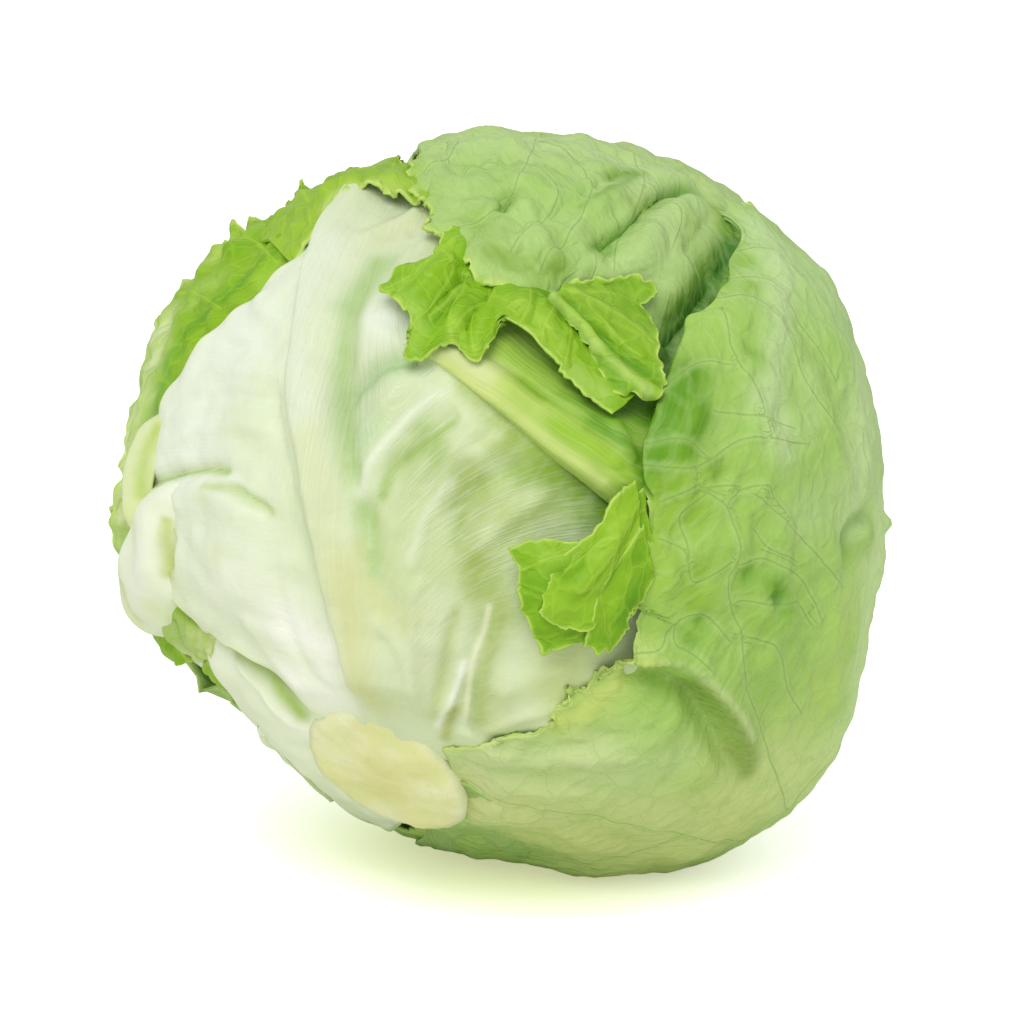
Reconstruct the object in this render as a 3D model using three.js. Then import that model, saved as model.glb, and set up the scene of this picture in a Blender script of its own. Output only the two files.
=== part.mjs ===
// A whole head of crisphead (iceberg) lettuce, lying on its side with the cut stem to the front and low.
//
// Millimetres, +Z up, the front towards -Y. The origin is on the small flat spot that the head rests on,
// straight below the middle of the head. Each leaf is one closed sheet. The leaves lie over one another in
// layers, as they grew, and all of them follow one rounded form that is flattened where it rests.
//
// A direction from the middle of the head is given in the plant's own polar degrees, [tilt, turn]: tilt is
// the angle from the cut stem's axis, and turn goes round that axis, 0 at the upper side, 90 at the right.
import * as THREE from "three";

// Driving sizes.
const middleHeight = 78; // the middle of the head above the surface it rests on
const headRadius = 80; // from the middle to the outermost leaf, before swells
const leafThickness = 1.4;
const leafPitch = 2.8; // from one layer of the outer leaves to the next
const heartThickness = 2.3; // a heart leaf with its small folds
const heartDepth = 16; // the first heart leaf below the outermost leaf
const heartPitch = 4.1; // from one heart leaf to the next: they are looser than the outer leaves
const heartLeaves = 11;
const heartTurn = 137.5; // the golden angle, from one heart leaf to the next
const roundDepth = 50; // from this depth inwards the leaves no longer follow the swells of the outside
const ribShare = 0.2; // how wide a rib is, as a share of half the leaf's width
const seatRounding = 2.4; // how softly the leaves bend into the flat spot
const stem = { cutRadius: 15.5, cutDistance: 75, tipRadius: 6, tipDistance: 26, cutBevel: 1.6 };
const stemClearance = 0.9;
const bud = { across: 13, along: 15, offset: 5 };

const middle = new THREE.Vector3(0, 0, middleHeight);

// The plant's frame: the axis comes out of the cut stem, to the front, left and down.
const stemAxis = new THREE.Vector3(-0.32, -0.775, -0.545).normalize();
const upperSide = new THREE.Vector3(-0.34, -0.445, 0.83).projectOnPlane(stemAxis).normalize();
const rightSide = new THREE.Vector3().crossVectors(upperSide, stemAxis);

const { degToRad, radToDeg } = THREE.MathUtils;

// The unit direction from the middle of the head at [tilt, turn] degrees.
function direction([tilt, turn]) {
  const sideways = Math.sin(degToRad(tilt));
  return new THREE.Vector3()
    .addScaledVector(stemAxis, Math.cos(degToRad(tilt)))
    .addScaledVector(upperSide, sideways * Math.cos(degToRad(turn)))
    .addScaledVector(rightSide, sideways * Math.sin(degToRad(turn)));
}

// Where the head swells out or sinks in, how far, and how wide the swell is in degrees.
const swells = [
  { at: [72, 142], height: 10, width: 26 }, // the heavy lower right
  { at: [134, 66], height: 4, width: 24 }, // the shoulder at the upper right
  { at: [64, -78], height: 11, width: 30 }, // the full left side
  { at: [98, -50], height: 8, width: 32 },
  { at: [62, 184], height: 7.5, width: 25 }, // what it rests on
  { at: [38, -118], height: -6, width: 20 }, // drawn in below the stem
  { at: [30, 172], height: -7, width: 18 },
  { at: [92, 44], height: -7, width: 10 }, // the cleft between the top and right leaves
  { at: [112, 50], height: -3, width: 10 },
  { at: [78, 38], height: -3, width: 10 },
].map(({ at, height, width }) => ({ towards: direction(at), height, width: degToRad(width) }));

// From the middle of the head to the layer at a depth, in a unit direction.
function formRadius(towards, depth) {
  const follow = Math.max(1 - depth / roundDepth, 0);
  return swells.reduce((radius, swell) => {
    const away = towards.angleTo(swell.towards) / swell.width;
    return radius + follow * swell.height * Math.exp(-away * away);
  }, headRadius - depth);
}

// A height above a floor, bent softly so that what would be below the floor lies flat on it.
function seated(height, floor) {
  const above = height - floor;
  if (above > seatRounding) return height;
  if (above < -seatRounding) return floor;
  return floor + (above + seatRounding) ** 2 / (4 * seatRounding);
}

// The point of the layer at a depth, in a unit direction.
function surfacePoint(towards, depth) {
  const point = middle.clone().addScaledVector(towards, formRadius(towards, depth));
  point.z = seated(point.z, depth);
  return point;
}

// A smooth curve of directions through hand-set [tilt, turn] points.
function edgeCurve(points) {
  return new THREE.CatmullRomCurve3(points.map(direction), false, "catmullrom", 0.5);
}

// A direction on the shortest way from one to another.
function between(start, end, share) {
  const turn = new THREE.Quaternion().setFromUnitVectors(start, end);
  return start.clone().applyQuaternion(new THREE.Quaternion().slerp(turn, share));
}

// One leaf: a sheet from its rib out to its left and right edges, and from the stem to its tip. The rib may
// stand out of it, and then sinks into the leaf towards the tip.
function leafGeometry({ left, rib, right, depth, thickness, ribRise = 0, rows, columns }) {
  const [leftCurve, ribCurve, rightCurve] = [left, rib, right].map(edgeCurve);
  const sheet = new THREE.BoxGeometry(2, 1, 1, columns, rows, 1);
  const place = sheet.getAttribute("position");
  for (let i = 0; i < place.count; i++) {
    const across = place.getX(i);
    const along = place.getY(i) + 0.5;
    const ribPoint = ribCurve.getPoint(along).normalize();
    const edgePoint = (across < 0 ? leftCurve : rightCurve).getPoint(along).normalize();
    const towards = between(ribPoint, edgePoint, Math.abs(across));
    const rise = ribRise * Math.exp(-((across / ribShare) ** 2)) * Math.sqrt(1 - along);
    const below = place.getZ(i) > 0 ? -rise : thickness;
    place.setXYZ(i, ...surfacePoint(towards, depth + below).toArray());
  }
  sheet.computeVertexNormals();
  return sheet;
}

function finish(color, roughness) {
  return new THREE.MeshStandardMaterial({ color, roughness, metalness: 0 });
}

// The outer leaves. Layer 0 is the outermost. Edges and rib run from the stem to the tip.
const outerLeaves = [
  {
    name: "right_leaf",
    color: 0xa9cf7a,
    layer: 0,
    left: [
      [14, 84], [26, 81], [38, 80], [47, 77], [57, 64], [67, 54],
      [79, 51], [92, 51], [106, 54], [120, 53], [134, 44],
    ],
    rib: [[14, 132], [40, 120], [65, 113], [90, 108], [115, 100], [138, 84]],
    right: [[14, 186], [34, 200], [56, 218], [80, 210], [102, 190], [122, 168], [136, 138]],
    rows: 24,
    columns: 22,
  },
  {
    name: "top_leaf",
    color: 0xaccb7a,
    layer: 1,
    left: [[14, 124], [45, 121], [75, 116], [96, 106], [110, 90], [113, 72], [107, 60], [98, 51]],
    rib: [[14, 155], [50, 166], [85, 168], [112, 158], [134, 124], [131, 70], [114, 40], [87, 28]],
    right: [[14, 186], [52, 205], [86, 216], [116, 226], [142, 246], [150, 300], [128, 340], [107, 355]],
    rows: 22,
    columns: 18,
  },
  {
    name: "small_leaf",
    color: 0x8cb62c,
    layer: 1,
    left: [[14, 98], [28, 86], [36, 66], [44, 48], [54, 50], [64, 57], [75, 62], [86, 66]],
    rib: [[14, 105], [34, 94], [48, 82], [62, 77], [76, 78], [87, 80]],
    right: [[14, 112], [36, 108], [56, 104], [74, 98], [88, 92]],
    rows: 10,
    columns: 7,
  },
  {
    name: "front_leaf",
    color: 0xe4edd2,
    layer: 2,
    left: [
      [14, -42], [25, -49], [37, -54], [48, -59], [60, -65],
      [70, -56], [79, -43], [88, -28], [97, -16], [107, -6],
    ],
    rib: [[15, 16], [24, 10], [38, 4], [52, -2], [63, -5], [75, -8], [88, -8], [97, -3], [107, 4]],
    right: [
      [16, 84], [32, 88], [46, 82], [56, 69], [61, 54], [64, 38],
      [67, 22], [74, 14], [85, 12], [96, 13], [107, 14],
    ],
    ribRise: 3,
    rows: 14,
    columns: 16,
  },
  {
    name: "back_leaf",
    color: 0xb6d68a,
    layer: 2,
    left: [[14, 182], [40, 178], [70, 174], [100, 174], [126, 180], [150, 204]],
    rib: [[14, 222], [45, 228], [75, 236], [104, 246], [132, 262], [152, 290]],
    right: [[14, 246], [42, 262], [70, 278], [94, 296], [112, 314], [124, 334], [122, 354]],
    rows: 16,
    columns: 16,
  },
  {
    name: "left_leaf",
    color: 0x9fca4e,
    layer: 3,
    left: [[15, -96], [40, -102], [60, -100], [80, -92], [98, -78], [112, -60], [122, -38], [124, -12]],
    rib: [[15, -62], [40, -58], [60, -54], [78, -46], [92, -36], [106, -24], [118, -10]],
    right: [[15, -30], [40, -18], [60, -12], [80, -7], [95, -2], [108, 2]],
    rows: 13,
    columns: 10,
  },
  {
    name: "curled_leaf",
    color: 0x97c139,
    layer: 3,
    left: [[15, 4], [40, 2], [60, 3], [75, 5], [86, 8], [98, 12]],
    rib: [[15, 50], [40, 45], [60, 42], [76, 38], [94, 34]],
    right: [[15, 96], [40, 92], [60, 84], [76, 74], [90, 64]],
    rows: 10,
    columns: 10,
  },
  {
    name: "low_left_leaf",
    color: 0xe2ecc8,
    layer: 4,
    left: [[15.5, -176], [38, -170], [58, -156], [74, -138], [88, -122]],
    rib: [[15.5, -116], [40, -112], [62, -106], [86, -100], [106, -96]],
    right: [[15.5, -58], [36, -60], [56, -66], [76, -72], [92, -74], [106, -74]],
    rows: 10,
    columns: 10,
  },
];

function outerLeaf({ name, color, layer, ...outline }) {
  const geometry = leafGeometry({ ...outline, depth: layer * leafPitch, thickness: leafThickness });
  const mesh = new THREE.Mesh(geometry, finish(color, 0.45));
  mesh.name = name;
  return mesh;
}

// The tilt at which a leaf that far from the middle starts, just clear of the stem.
function startTilt(radius) {
  const outwards = Math.max(radius - stem.tipDistance, 0) / (stem.cutDistance - stem.tipDistance);
  const stemRadius = THREE.MathUtils.lerp(stem.tipRadius, stem.cutRadius, outwards);
  return radToDeg(Math.asin((stemRadius + stemClearance) / radius)) + 2;
}

// A heart leaf is a cup over half of the head. Each one grows a golden angle round from the last.
function heartLeaf(index) {
  const depth = heartDepth + index * heartPitch;
  const turn = 40 + index * heartTurn;
  const start = startTilt(headRadius - depth - heartThickness);
  const edge = (side) => [
    [start, turn + side * 58],
    [start + 22, turn + side * 84],
    [72, turn + side * 96],
    [108, turn + side * 98],
    [140, turn + side * 92],
    [158, turn + side * 64],
  ];
  const rib = [start, 55, 95, 132, 166].map((tilt) => [tilt, turn]);
  const steps = index < 6 ? 12 : 9;
  const outline = { left: edge(-1), rib, right: edge(1), rows: steps, columns: steps };
  const geometry = leafGeometry({ ...outline, depth, thickness: heartThickness });
  const mesh = new THREE.Mesh(geometry, finish(0xedf0c8, 0.5));
  mesh.name = `heart_leaf_${String(index + 1).padStart(2, "0")}`;
  return mesh;
}

// Stands a shape that was made round +Y on the stem's axis, a distance out from the middle of the head.
function alongStem(mesh, distance) {
  mesh.position.copy(middle).addScaledVector(stemAxis, distance);
  mesh.quaternion.setFromUnitVectors(new THREE.Vector3(0, 1, 0), stemAxis);
  return mesh;
}

// The solid stem: a cone that narrows into the head, cut flat across its wide end.
function stemMesh() {
  const { cutRadius, cutDistance, tipRadius, tipDistance, cutBevel } = stem;
  const profile = [
    [0, tipDistance],
    [tipRadius * 0.7, tipDistance + 0.8],
    [tipRadius, tipDistance + 3],
    [cutRadius, cutDistance - cutBevel],
    [cutRadius - cutBevel, cutDistance],
    [0, cutDistance],
  ].map(([radius, distance]) => new THREE.Vector2(radius, distance));
  const mesh = new THREE.Mesh(new THREE.LatheGeometry(profile, 20), finish(0xd9d992, 0.6));
  mesh.name = "stem";
  return alongStem(mesh, 0);
}

// The bud of tiny leaves that the heart leaves close over.
function heartBud() {
  const geometry = new THREE.SphereGeometry(1, 16, 10).scale(bud.across, bud.along, bud.across);
  const mesh = new THREE.Mesh(geometry, finish(0xf1efc0, 0.5));
  mesh.name = "heart_bud";
  return alongStem(mesh, bud.offset);
}

const lettuce = new THREE.Group();
lettuce.add(stemMesh(), heartBud());
lettuce.add(...outerLeaves.map(outerLeaf));
for (let index = 0; index < heartLeaves; index++) lettuce.add(heartLeaf(index));

export default lettuce;
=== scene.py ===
import bpy
import numpy as np
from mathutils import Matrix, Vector


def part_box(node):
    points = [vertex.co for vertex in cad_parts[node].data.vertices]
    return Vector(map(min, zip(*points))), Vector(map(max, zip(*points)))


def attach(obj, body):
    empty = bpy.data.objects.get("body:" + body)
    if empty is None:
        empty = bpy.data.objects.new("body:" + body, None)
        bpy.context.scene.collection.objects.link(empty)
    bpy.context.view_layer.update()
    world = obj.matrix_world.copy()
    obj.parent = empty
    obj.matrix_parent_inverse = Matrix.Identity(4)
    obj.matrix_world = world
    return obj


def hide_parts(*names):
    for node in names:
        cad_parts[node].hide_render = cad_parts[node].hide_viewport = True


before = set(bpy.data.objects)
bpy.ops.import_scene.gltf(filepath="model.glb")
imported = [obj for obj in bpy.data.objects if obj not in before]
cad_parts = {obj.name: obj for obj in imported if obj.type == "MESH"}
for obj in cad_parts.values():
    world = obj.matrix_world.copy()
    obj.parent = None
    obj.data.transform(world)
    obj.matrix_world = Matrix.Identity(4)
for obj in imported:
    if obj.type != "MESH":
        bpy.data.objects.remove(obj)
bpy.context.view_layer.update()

# A whole head of crisphead lettuce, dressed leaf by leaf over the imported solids.
# Lengths are millimetres and angles degrees until a mesh is written, which is in metres. A place on the
# head is [tilt, turn]: tilt is the angle from the cut stem's axis, turn goes round that axis, 0 at the
# upper side and 90 at the right. A third number is a height above the leaf's own layer, which lies at the
# leaf's depth below the outermost one.
metres = 0.001
print("frame loaded,", len(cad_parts), "nodes")

head = {
    "radius": 80,
    "roundDepth": 50,  # from this depth inwards a leaf no longer follows the swells
    "seatRounding": 2.4,
    "stemAxis": (-0.32, -0.775, -0.545),
    "upperSide": (-0.34, -0.445, 0.83),
    "rimLift": -6.6,  # leaf bases meet the cut stem's rim here and rise to their layer over the collar
    "rimSink": 0.12,  # and lower than that for each millimetre of a leaf's depth
    "collar": (11.5, 19),
    "budOffset": 5,  # the heart bud's middle, from the middle of the head
    "swells": [  # place, height, width
        ([72, 142], 10, 26),
        ([134, 66], 4, 24),
        ([64, -78], 11, 30),
        ([98, -50], 8, 32),
        ([62, 184], 7.5, 25),
        ([38, -118], -6, 20),
        ([38, -95], -5, 13),
        ([30, 172], -7, 18),
        ([92, 44], -7, 10),
        ([112, 50], -3, 10),
        ([78, 38], -3, 10),
    ],
}


def unit(vectors):
    return vectors / np.linalg.norm(vectors, axis=-1, keepdims=True)


def smooth(value, low, high):
    share = np.clip((value - low) / (high - low), 0, 1)
    return share * share * (3 - 2 * share)


stemAxis = unit(np.array(head["stemAxis"]))
upperSide = np.array(head["upperSide"])
upperSide = unit(upperSide - stemAxis * (upperSide @ stemAxis))
rightSide = np.cross(upperSide, stemAxis)
budLow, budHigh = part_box("heart_bud")
middle = np.array(budLow + budHigh) / 2 / metres - stemAxis * head["budOffset"]


def direction(places):
    tilt, turn = np.radians(np.moveaxis(np.asarray(places, float)[..., :2], -1, 0))[..., None]
    return np.cos(tilt) * stemAxis + np.sin(tilt) * (np.cos(turn) * upperSide + np.sin(turn) * rightSide)


def tiltOf(towards):
    return np.degrees(np.arccos(np.clip(towards @ stemAxis, -1, 1)))


def turnOf(towards):
    return np.degrees(np.arctan2(towards @ rightSide, towards @ upperSide))


def alongStem(points):
    # Points given as [right, up, along the stem] from the middle of the head.
    return middle + points[:, :1] * rightSide + points[:, 1:2] * upperSide + points[:, 2:] * stemAxis


def curve(points, shares):
    # A smooth curve through given points, at shares of its way.
    points = np.asarray(points, float)
    ends = 2 * points[0] - points[1], 2 * points[-1] - points[-2]
    padded = np.concatenate([ends[0][None], points, ends[1][None]])
    way = np.clip(shares, 0, 1) * (len(points) - 1)
    start = np.minimum(way.astype(int), len(points) - 2)
    t = (way - start).reshape(way.shape + (1,) * (points.ndim - 1))
    p0, p1, p2, p3 = (padded[start + k] for k in range(4))
    return p1 + 0.5 * t * (p2 - p0 + t * (2 * p0 - 5 * p1 + 4 * p2 - p3 + t * (3 * p1 - p0 - 3 * p2 + p3)))


def evenShares(places, perPlace):
    # Even shares of the way along a line of places, with a few steps from each place to the next.
    return np.linspace(0, 1, perPlace * (len(places) - 1) + 1)


def pace(places, wanted):
    # Where along a line of places the wanted shares of its length are reached.
    fine = evenShares(places, 24)
    steps = np.linalg.norm(np.diff(curve(direction(places), fine), axis=0), axis=1)
    gone = np.concatenate([[0], steps.cumsum()])
    return np.interp(wanted, gone / gone[-1], fine)


def between(start, end, share):
    # The directions on the shortest ways from start to end.
    angle = np.arccos(np.clip((start * end).sum(-1, keepdims=True), -1, 1))
    angle = np.maximum(angle, 1e-6)
    share = share[..., None]
    return (np.sin((1 - share) * angle) * start + np.sin(share * angle) * end) / np.sin(angle)


swells = [(direction(place), height, np.radians(width)) for place, height, width in head["swells"]]


def onHead(towards, lift):
    # The point a height above the outermost layer, bent softly where the head rests on its flat spot.
    follow = np.clip(1 + lift / head["roundDepth"], 0, 1)
    radius = head["radius"] + lift
    for swell, height, width in swells:
        away = np.arccos(np.clip(towards @ swell, -1, 1)) / width
        radius = radius + follow * height * np.exp(-(away**2))
    point = middle + towards * radius[..., None]
    floor = np.maximum(-lift, 0)
    rounding = head["seatRounding"]
    above = point[..., 2] - floor
    bent = floor + (above + rounding) ** 2 / (4 * rounding)
    point[..., 2] = np.where(above > rounding, point[..., 2], np.where(above < -rounding, floor, bent))
    return point


def fromPath(spots, path, reach):
    # For spots on the head: distance from a line over it, its side (left is positive), share of its way.
    # Spots that are out of reach stay far away.
    far = 1000.0
    away = np.full(len(spots), far)
    side = np.zeros(len(spots))
    share = np.zeros(len(spots))
    line = direction(path) * head["radius"]
    if len(path) > 1:
        line = unit(curve(line, evenShares(path, 7))) * head["radius"]
    centre = line.mean(0)
    span = np.linalg.norm(line - centre, axis=1).max() + reach
    near = np.flatnonzero(np.linalg.norm(spots - centre, axis=1) < span)
    if len(near) == 0:
        return away, side, share
    if len(path) == 1:
        away[near] = np.linalg.norm(spots[near] - line[0], axis=1)
        return away, side, share
    start, step = line[:-1], np.diff(line, axis=0)
    offset = spots[near][:, None] - start
    part = np.clip((offset * step).sum(-1) / (step**2).sum(-1), 0, 1)
    gap = offset - part[..., None] * step
    best = (gap**2).sum(-1).argmin(1)
    row = np.arange(len(near))
    gap = gap[row, best]
    away[near] = np.linalg.norm(gap, axis=1)
    leftwards = np.cross(spots[near], step[best])
    side[near] = np.sign((gap * leftwards).sum(-1))
    share[near] = (best + part[row, best]) / len(step)
    return away, side, share


def stroke(spots, path, width, ends=(0.15, 0.25)):
    # 1 on a line and fading beside it, over its own width on the left and on the right, and to its ends;
    # with no ends it is rounded there.
    widths = width if isinstance(width, tuple) else (width, width)
    away, side, share = fromPath(spots, path, 2.6 * max(widths))
    wide = np.where(side > 0, widths[0], widths[1])
    fade = np.exp(-((away / wide) ** 2))
    if len(path) > 1 and ends:
        fade = fade * smooth(share, 0, ends[0] + 1e-6) * smooth(1 - share, 0, ends[1] + 1e-6)
    return fade


def ripple(spots, size, seed):
    # Soft random unevenness with bumps about one size apart.
    count = 28
    random = np.random.default_rng(seed)
    waves = unit(random.normal(size=(count, 3))) * random.uniform(0.6, 1.5, (count, 1)) * 2 * np.pi / size
    phases = random.uniform(0, 2 * np.pi, count)
    return np.sin(spots @ waves.T + phases).sum(-1) / np.sqrt(count / 2)


def sway(run, size, seed):
    # The same along one line.
    count = 9
    random = np.random.default_rng(seed)
    waves = random.uniform(0.7, 1.6, count) * 2 * np.pi / size
    phases = random.uniform(0, 2 * np.pi, count)
    return np.sin(run[..., None] * waves + phases).sum(-1) / np.sqrt(count / 2)


def tone(code):
    # A display colour as linear light.
    shown = np.array([int(code[k : k + 2], 16) for k in (0, 2, 4)]) / 255
    return np.where(shown <= 0.04045, shown / 12.92, ((shown + 0.055) / 1.055) ** 2.4)


def tinted(tint, colour, share):
    return tint + share[:, None] * (tone(colour) - tint)


def crowd(place, amount):
    # Moves the lines of a grid from -1 to 1 towards its ends.
    return place * (1 + amount / 2) - amount / 2 * place**3


def walk(place, axis):
    # The way gone over the sheet along one axis of its grid.
    steps = np.linalg.norm(np.diff(place, axis=axis), axis=-1)
    pad = [(0, 0), (0, 0)]
    pad[axis] = (1, 0)
    return np.pad(steps.cumsum(axis), pad)


# How every sheet is laid and what its points tell the finishes.
sheet = {
    # Near the stem a sheet's cross lines go round the axis, and further out they run straight.
    "roundTilt": 30, "straightTilt": 55,
    "veinReach": 6.0, "edgeReach": 9.0,  # the furthest that a vein or a free margin is told of
    "veinHollow": 2.2,  # how wide a sunken vein's hollow is
    "marginGap": 400,  # keeps the margins' waves apart, so that no two are alike
    "sideways": 0.3,  # how far a wave also moves a margin sideways, as a share of its height
    "smallTooth": 0.43, "smallToothHeight": 0.6,  # the small teeth between the large ones, as shares of those
    "stretch": 4.5,  # how many teeth long the toothed and the calm stretches of a margin are
}


def layCurves(leaf, across, along):
    # The directions of a leaf's grid and its heights above the outermost layer, through the leaf's curves.
    curves = [np.array([(*place, 0)[:3] for place in line], float) for line in leaf["curves"]]
    paces = [pace(line, along) for line in curves]
    towards = np.array([unit(curve(direction(line), gone)) for line, gone in zip(curves, paces)])
    lifts = np.array([curve(line[:, 2], gone) for line, gone in zip(curves, paces)])
    spacing = leaf.get("spacing", np.linspace(0, 1, len(curves)))
    way = np.interp((across + 1) / 2, spacing, range(len(curves)))
    start = np.minimum(way.astype(int), len(curves) - 2)
    share = (way - start)[None, :]
    tilts, turns = tiltOf(towards), turnOf(towards)
    level = tilts[start].T + share * (tilts[start + 1] - tilts[start]).T
    around = turns[start].T + share * ((turns[start + 1] - turns[start] + 180) % 360 - 180).T
    straight = between(np.swapaxes(towards[start], 0, 1), np.swapaxes(towards[start + 1], 0, 1), share)
    onStraight = smooth(level, sheet["roundTilt"], sheet["straightTilt"])[..., None]
    towards = unit(straight * onStraight + direction(np.stack([level, around], -1)) * (1 - onStraight))
    return towards, curve(lifts, way / (len(curves) - 1)).T - leaf["depth"]


def measureVeins(leaf, spots):
    # The distance from the nearest vein, and the same with a minus on the vein's right.
    veins = np.full(len(spots), sheet["veinReach"])
    veinSide = veins.copy()
    for path in leaf["veins"]:
        away, side, _ = fromPath(spots, path, sheet["veinReach"] + 1)
        veinSide = np.where(away < veins, away * np.where(side < 0, -1, 1), veinSide)
        veins = np.minimum(veins, away)
    return veins, veinSide


def relieve(leaf, spots, veins):
    # A leaf's own relief: its folds, sunken veins, soft bumps and sharper creases.
    relief = np.zeros(len(spots))
    for path, height, width, *ends in leaf["ridges"]:
        relief += height * stroke(spots, path, width, *ends)
    relief -= leaf["veinSink"] * np.exp(-((veins / sheet["veinHollow"]) ** 2))
    for size, height, seed in leaf["bumps"]:
        relief += height * ripple(spots, size, seed)
    for size, height, seed in leaf["creases"]:
        relief += height * (0.5 - np.abs(ripple(spots, size, seed)))
    return relief


def frill(place, leaf, sides, still):
    # Waves and teeth that grow towards the free margins, uneven and with calm stretches.
    acrossStep = unit(np.gradient(place, axis=1))
    alongStep = unit(np.gradient(place, axis=0))
    outward = unit(np.cross(acrossStep, alongStep))
    edgeways = {"left": -acrossStep, "right": acrossStep, "tip": alongStep}
    moved = place.copy()
    for number, (margin, away, run) in enumerate(sides):
        sideways = alongStep if number < 2 else acrossStep
        seed = leaf["seed"] + number
        for size, height, reach in leaf["waves"]:
            grow = height * np.clip(1 - away / reach, 0, 1) ** 2 * still
            moved += outward * (grow * sway(run, size, seed))[..., None]
            shifted = sheet["sideways"] * grow * sway(run + size / 3, size, seed + 40)
            moved += sideways * shifted[..., None]
        for size, height, reach in leaf["teeth"]:
            grow = height * np.clip(1 - away / reach, 0, 1) * still
            small = sheet["smallToothHeight"] * sway(run, size * sheet["smallTooth"], seed + 80)
            stretches = np.clip(0.55 + 0.6 * sway(run, size * sheet["stretch"], seed + 90), 0, 1.4)
            jag = (sway(run, size, seed + 70) + small) * stretches
            moved += edgeways[margin] * (grow * jag)[..., None]
    return moved


def paint(mesh, name, values, order=None):
    # Stores what the finishes read at each point: a value, a direction or a colour.
    values = np.asarray(values, np.float32).reshape(len(mesh.vertices), -1)
    kinds = {1: ("FLOAT", "value"), 3: ("FLOAT_VECTOR", "vector"), 4: ("FLOAT_COLOR", "color")}
    kind, field = kinds[values.shape[1]]
    if order is not None:
        given, values = values, np.empty_like(values)
        values[order] = given
    mesh.attributes.new(name, kind, "POINT").data.foreach_set(field, values.reshape(-1))


def pick(piece):
    bpy.ops.object.select_all(action="DESELECT")
    piece.select_set(True)
    bpy.context.view_layer.objects.active = piece


def dress(piece, node, look):
    # The last steps of every piece: its finish and its place in the frame.
    pick(piece)
    bpy.ops.object.shade_smooth()
    piece.data.materials.append(look)
    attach(piece, "root")
    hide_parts(node)
    print(piece.name, len(piece.data.polygons), "faces")


def freeMargins(leaf, fromLeft, fromBase):
    # For each free margin of a sheet: its name, the way to it and the way along it.
    gap = sheet["marginGap"]
    margins = {
        "left": (fromLeft, fromBase[:, :1]),
        "right": (fromLeft[:, -1:] - fromLeft, fromBase[:, -1:] + gap),
        "tip": (fromBase[-1:] - fromBase, fromLeft[-1:] + 2 * gap),
    }
    return [(margin, *margins[margin]) for margin in leaf["margins"]]


def colourLeaf(leaf, spots, edge):
    # A leaf's colour at each spot: its own colours, with the painted shade, highlights and glow that its dabs
    # and rim carry, and how strongly its fine lines show there.
    colour = leaf["colour"]
    tint = np.tile(tone(colour) if isinstance(colour, str) else colour, (len(spots), 1))
    for path, width, colour, amount in leaf["dabs"]:
        tint = tinted(tint, colour, amount * stroke(spots, path, width, None))
    # The pale rim: partly the margin's own paler colour and partly a painted glow of light through the thin
    # edge.
    if "rim" in leaf:
        colour, width, amount = leaf["rim"]
        tint = tinted(tint, colour, amount * np.exp(-((edge / width) ** 2)))
    lined = np.full(len(spots), leaf["lines"])
    for path, width, amount in leaf["lined"]:
        lined = np.maximum(lined, amount * stroke(spots, path, width, None))
    return np.c_[np.clip(tint, 0, 1), np.ones(len(spots))], lined


def addSheet(name, place):
    # A grid whose corners lie on the given places, and the order in which its corners take them.
    rows, columns = place.shape[0] - 1, place.shape[1] - 1
    bpy.ops.object.select_all(action="DESELECT")
    bpy.ops.mesh.primitive_grid_add(x_subdivisions=columns, y_subdivisions=rows, size=2)
    piece = bpy.context.object
    piece.name = piece.data.name = name
    flat = np.array([corner.co for corner in piece.data.vertices]).round(6)
    order = np.lexsort((flat[:, 0], flat[:, 1]))
    spot = np.empty((len(order), 3))
    spot[order] = place.reshape(-1, 3) * metres
    piece.data.vertices.foreach_set("co", spot.reshape(-1))
    return piece, order


def addWall(piece, thickness):
    # Makes a sheet a closed leaf, thickened inwards.
    pick(piece)
    wall = piece.modifiers.new("wall", "SOLIDIFY")
    wall.thickness = thickness * metres
    wall.offset = -1
    bpy.ops.object.modifier_apply(modifier=wall.name)


def growLeaf(leaf):
    # One leaf or lobe: a closed sheet through curves that run from its base to its tip, left to right.
    columns, rows = leaf["grid"]
    crowdAcross, crowdAlong = leaf["crowd"]
    across = crowd(np.linspace(-1, 1, columns + 1), crowdAcross)
    along = (crowd(np.linspace(-1, 1, rows + 1), crowdAlong) + 1) / 2
    towards, lift = layCurves(leaf, across, along)
    tilt, turn = tiltOf(towards), turnOf(towards)
    spots = towards.reshape(-1, 3) * head["radius"]
    veins, veinSide = measureVeins(leaf, spots)
    relief = relieve(leaf, spots, veins).reshape(lift.shape)
    if "ribRise" in leaf:
        rise, width = leaf["ribRise"]
        relief += rise * np.exp(-((across / width) ** 2)) * np.sqrt(np.clip(1 - along, 0, 1))[:, None]
    base = head["rimLift"] - head["rimSink"] * leaf["depth"]
    rise = smooth(tilt, *leaf.get("collar", head["collar"]))
    place = onHead(towards, base + rise * (lift + relief - base))

    fromLeft, fromBase = walk(place, 1), walk(place, 0)
    sides = freeMargins(leaf, fromLeft, fromBase)
    still = np.ones(len(spots))
    for path, width in leaf["still"]:
        still *= 1 - stroke(spots, path, width, None)
    place = frill(place, leaf, sides, still.reshape(lift.shape))
    edge = np.min([away for _, away, _ in sides] + [np.full(lift.shape, sheet["edgeReach"])],
                  axis=0).reshape(-1)
    if "flow" in leaf:
        flow = leaf["flow"](tilt, turn)
    else:
        centre = columns // 2
        flow = np.stack([fromLeft - fromLeft[:, centre : centre + 1], fromBase, 0 * fromBase], -1)
    tint, lined = colourLeaf(leaf, spots, edge)

    piece, order = addSheet(leaf["name"], place)
    told = {"tint": tint, "flow": flow, "edge": edge, "vein": veins, "veinSide": veinSide, "lined": lined}
    for name, values in told.items():
        paint(piece.data, name, values, order)
    addWall(piece, leaf["thickness"])
    dress(piece, leaf["node"], finishes[leaf["finish"]])


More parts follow.
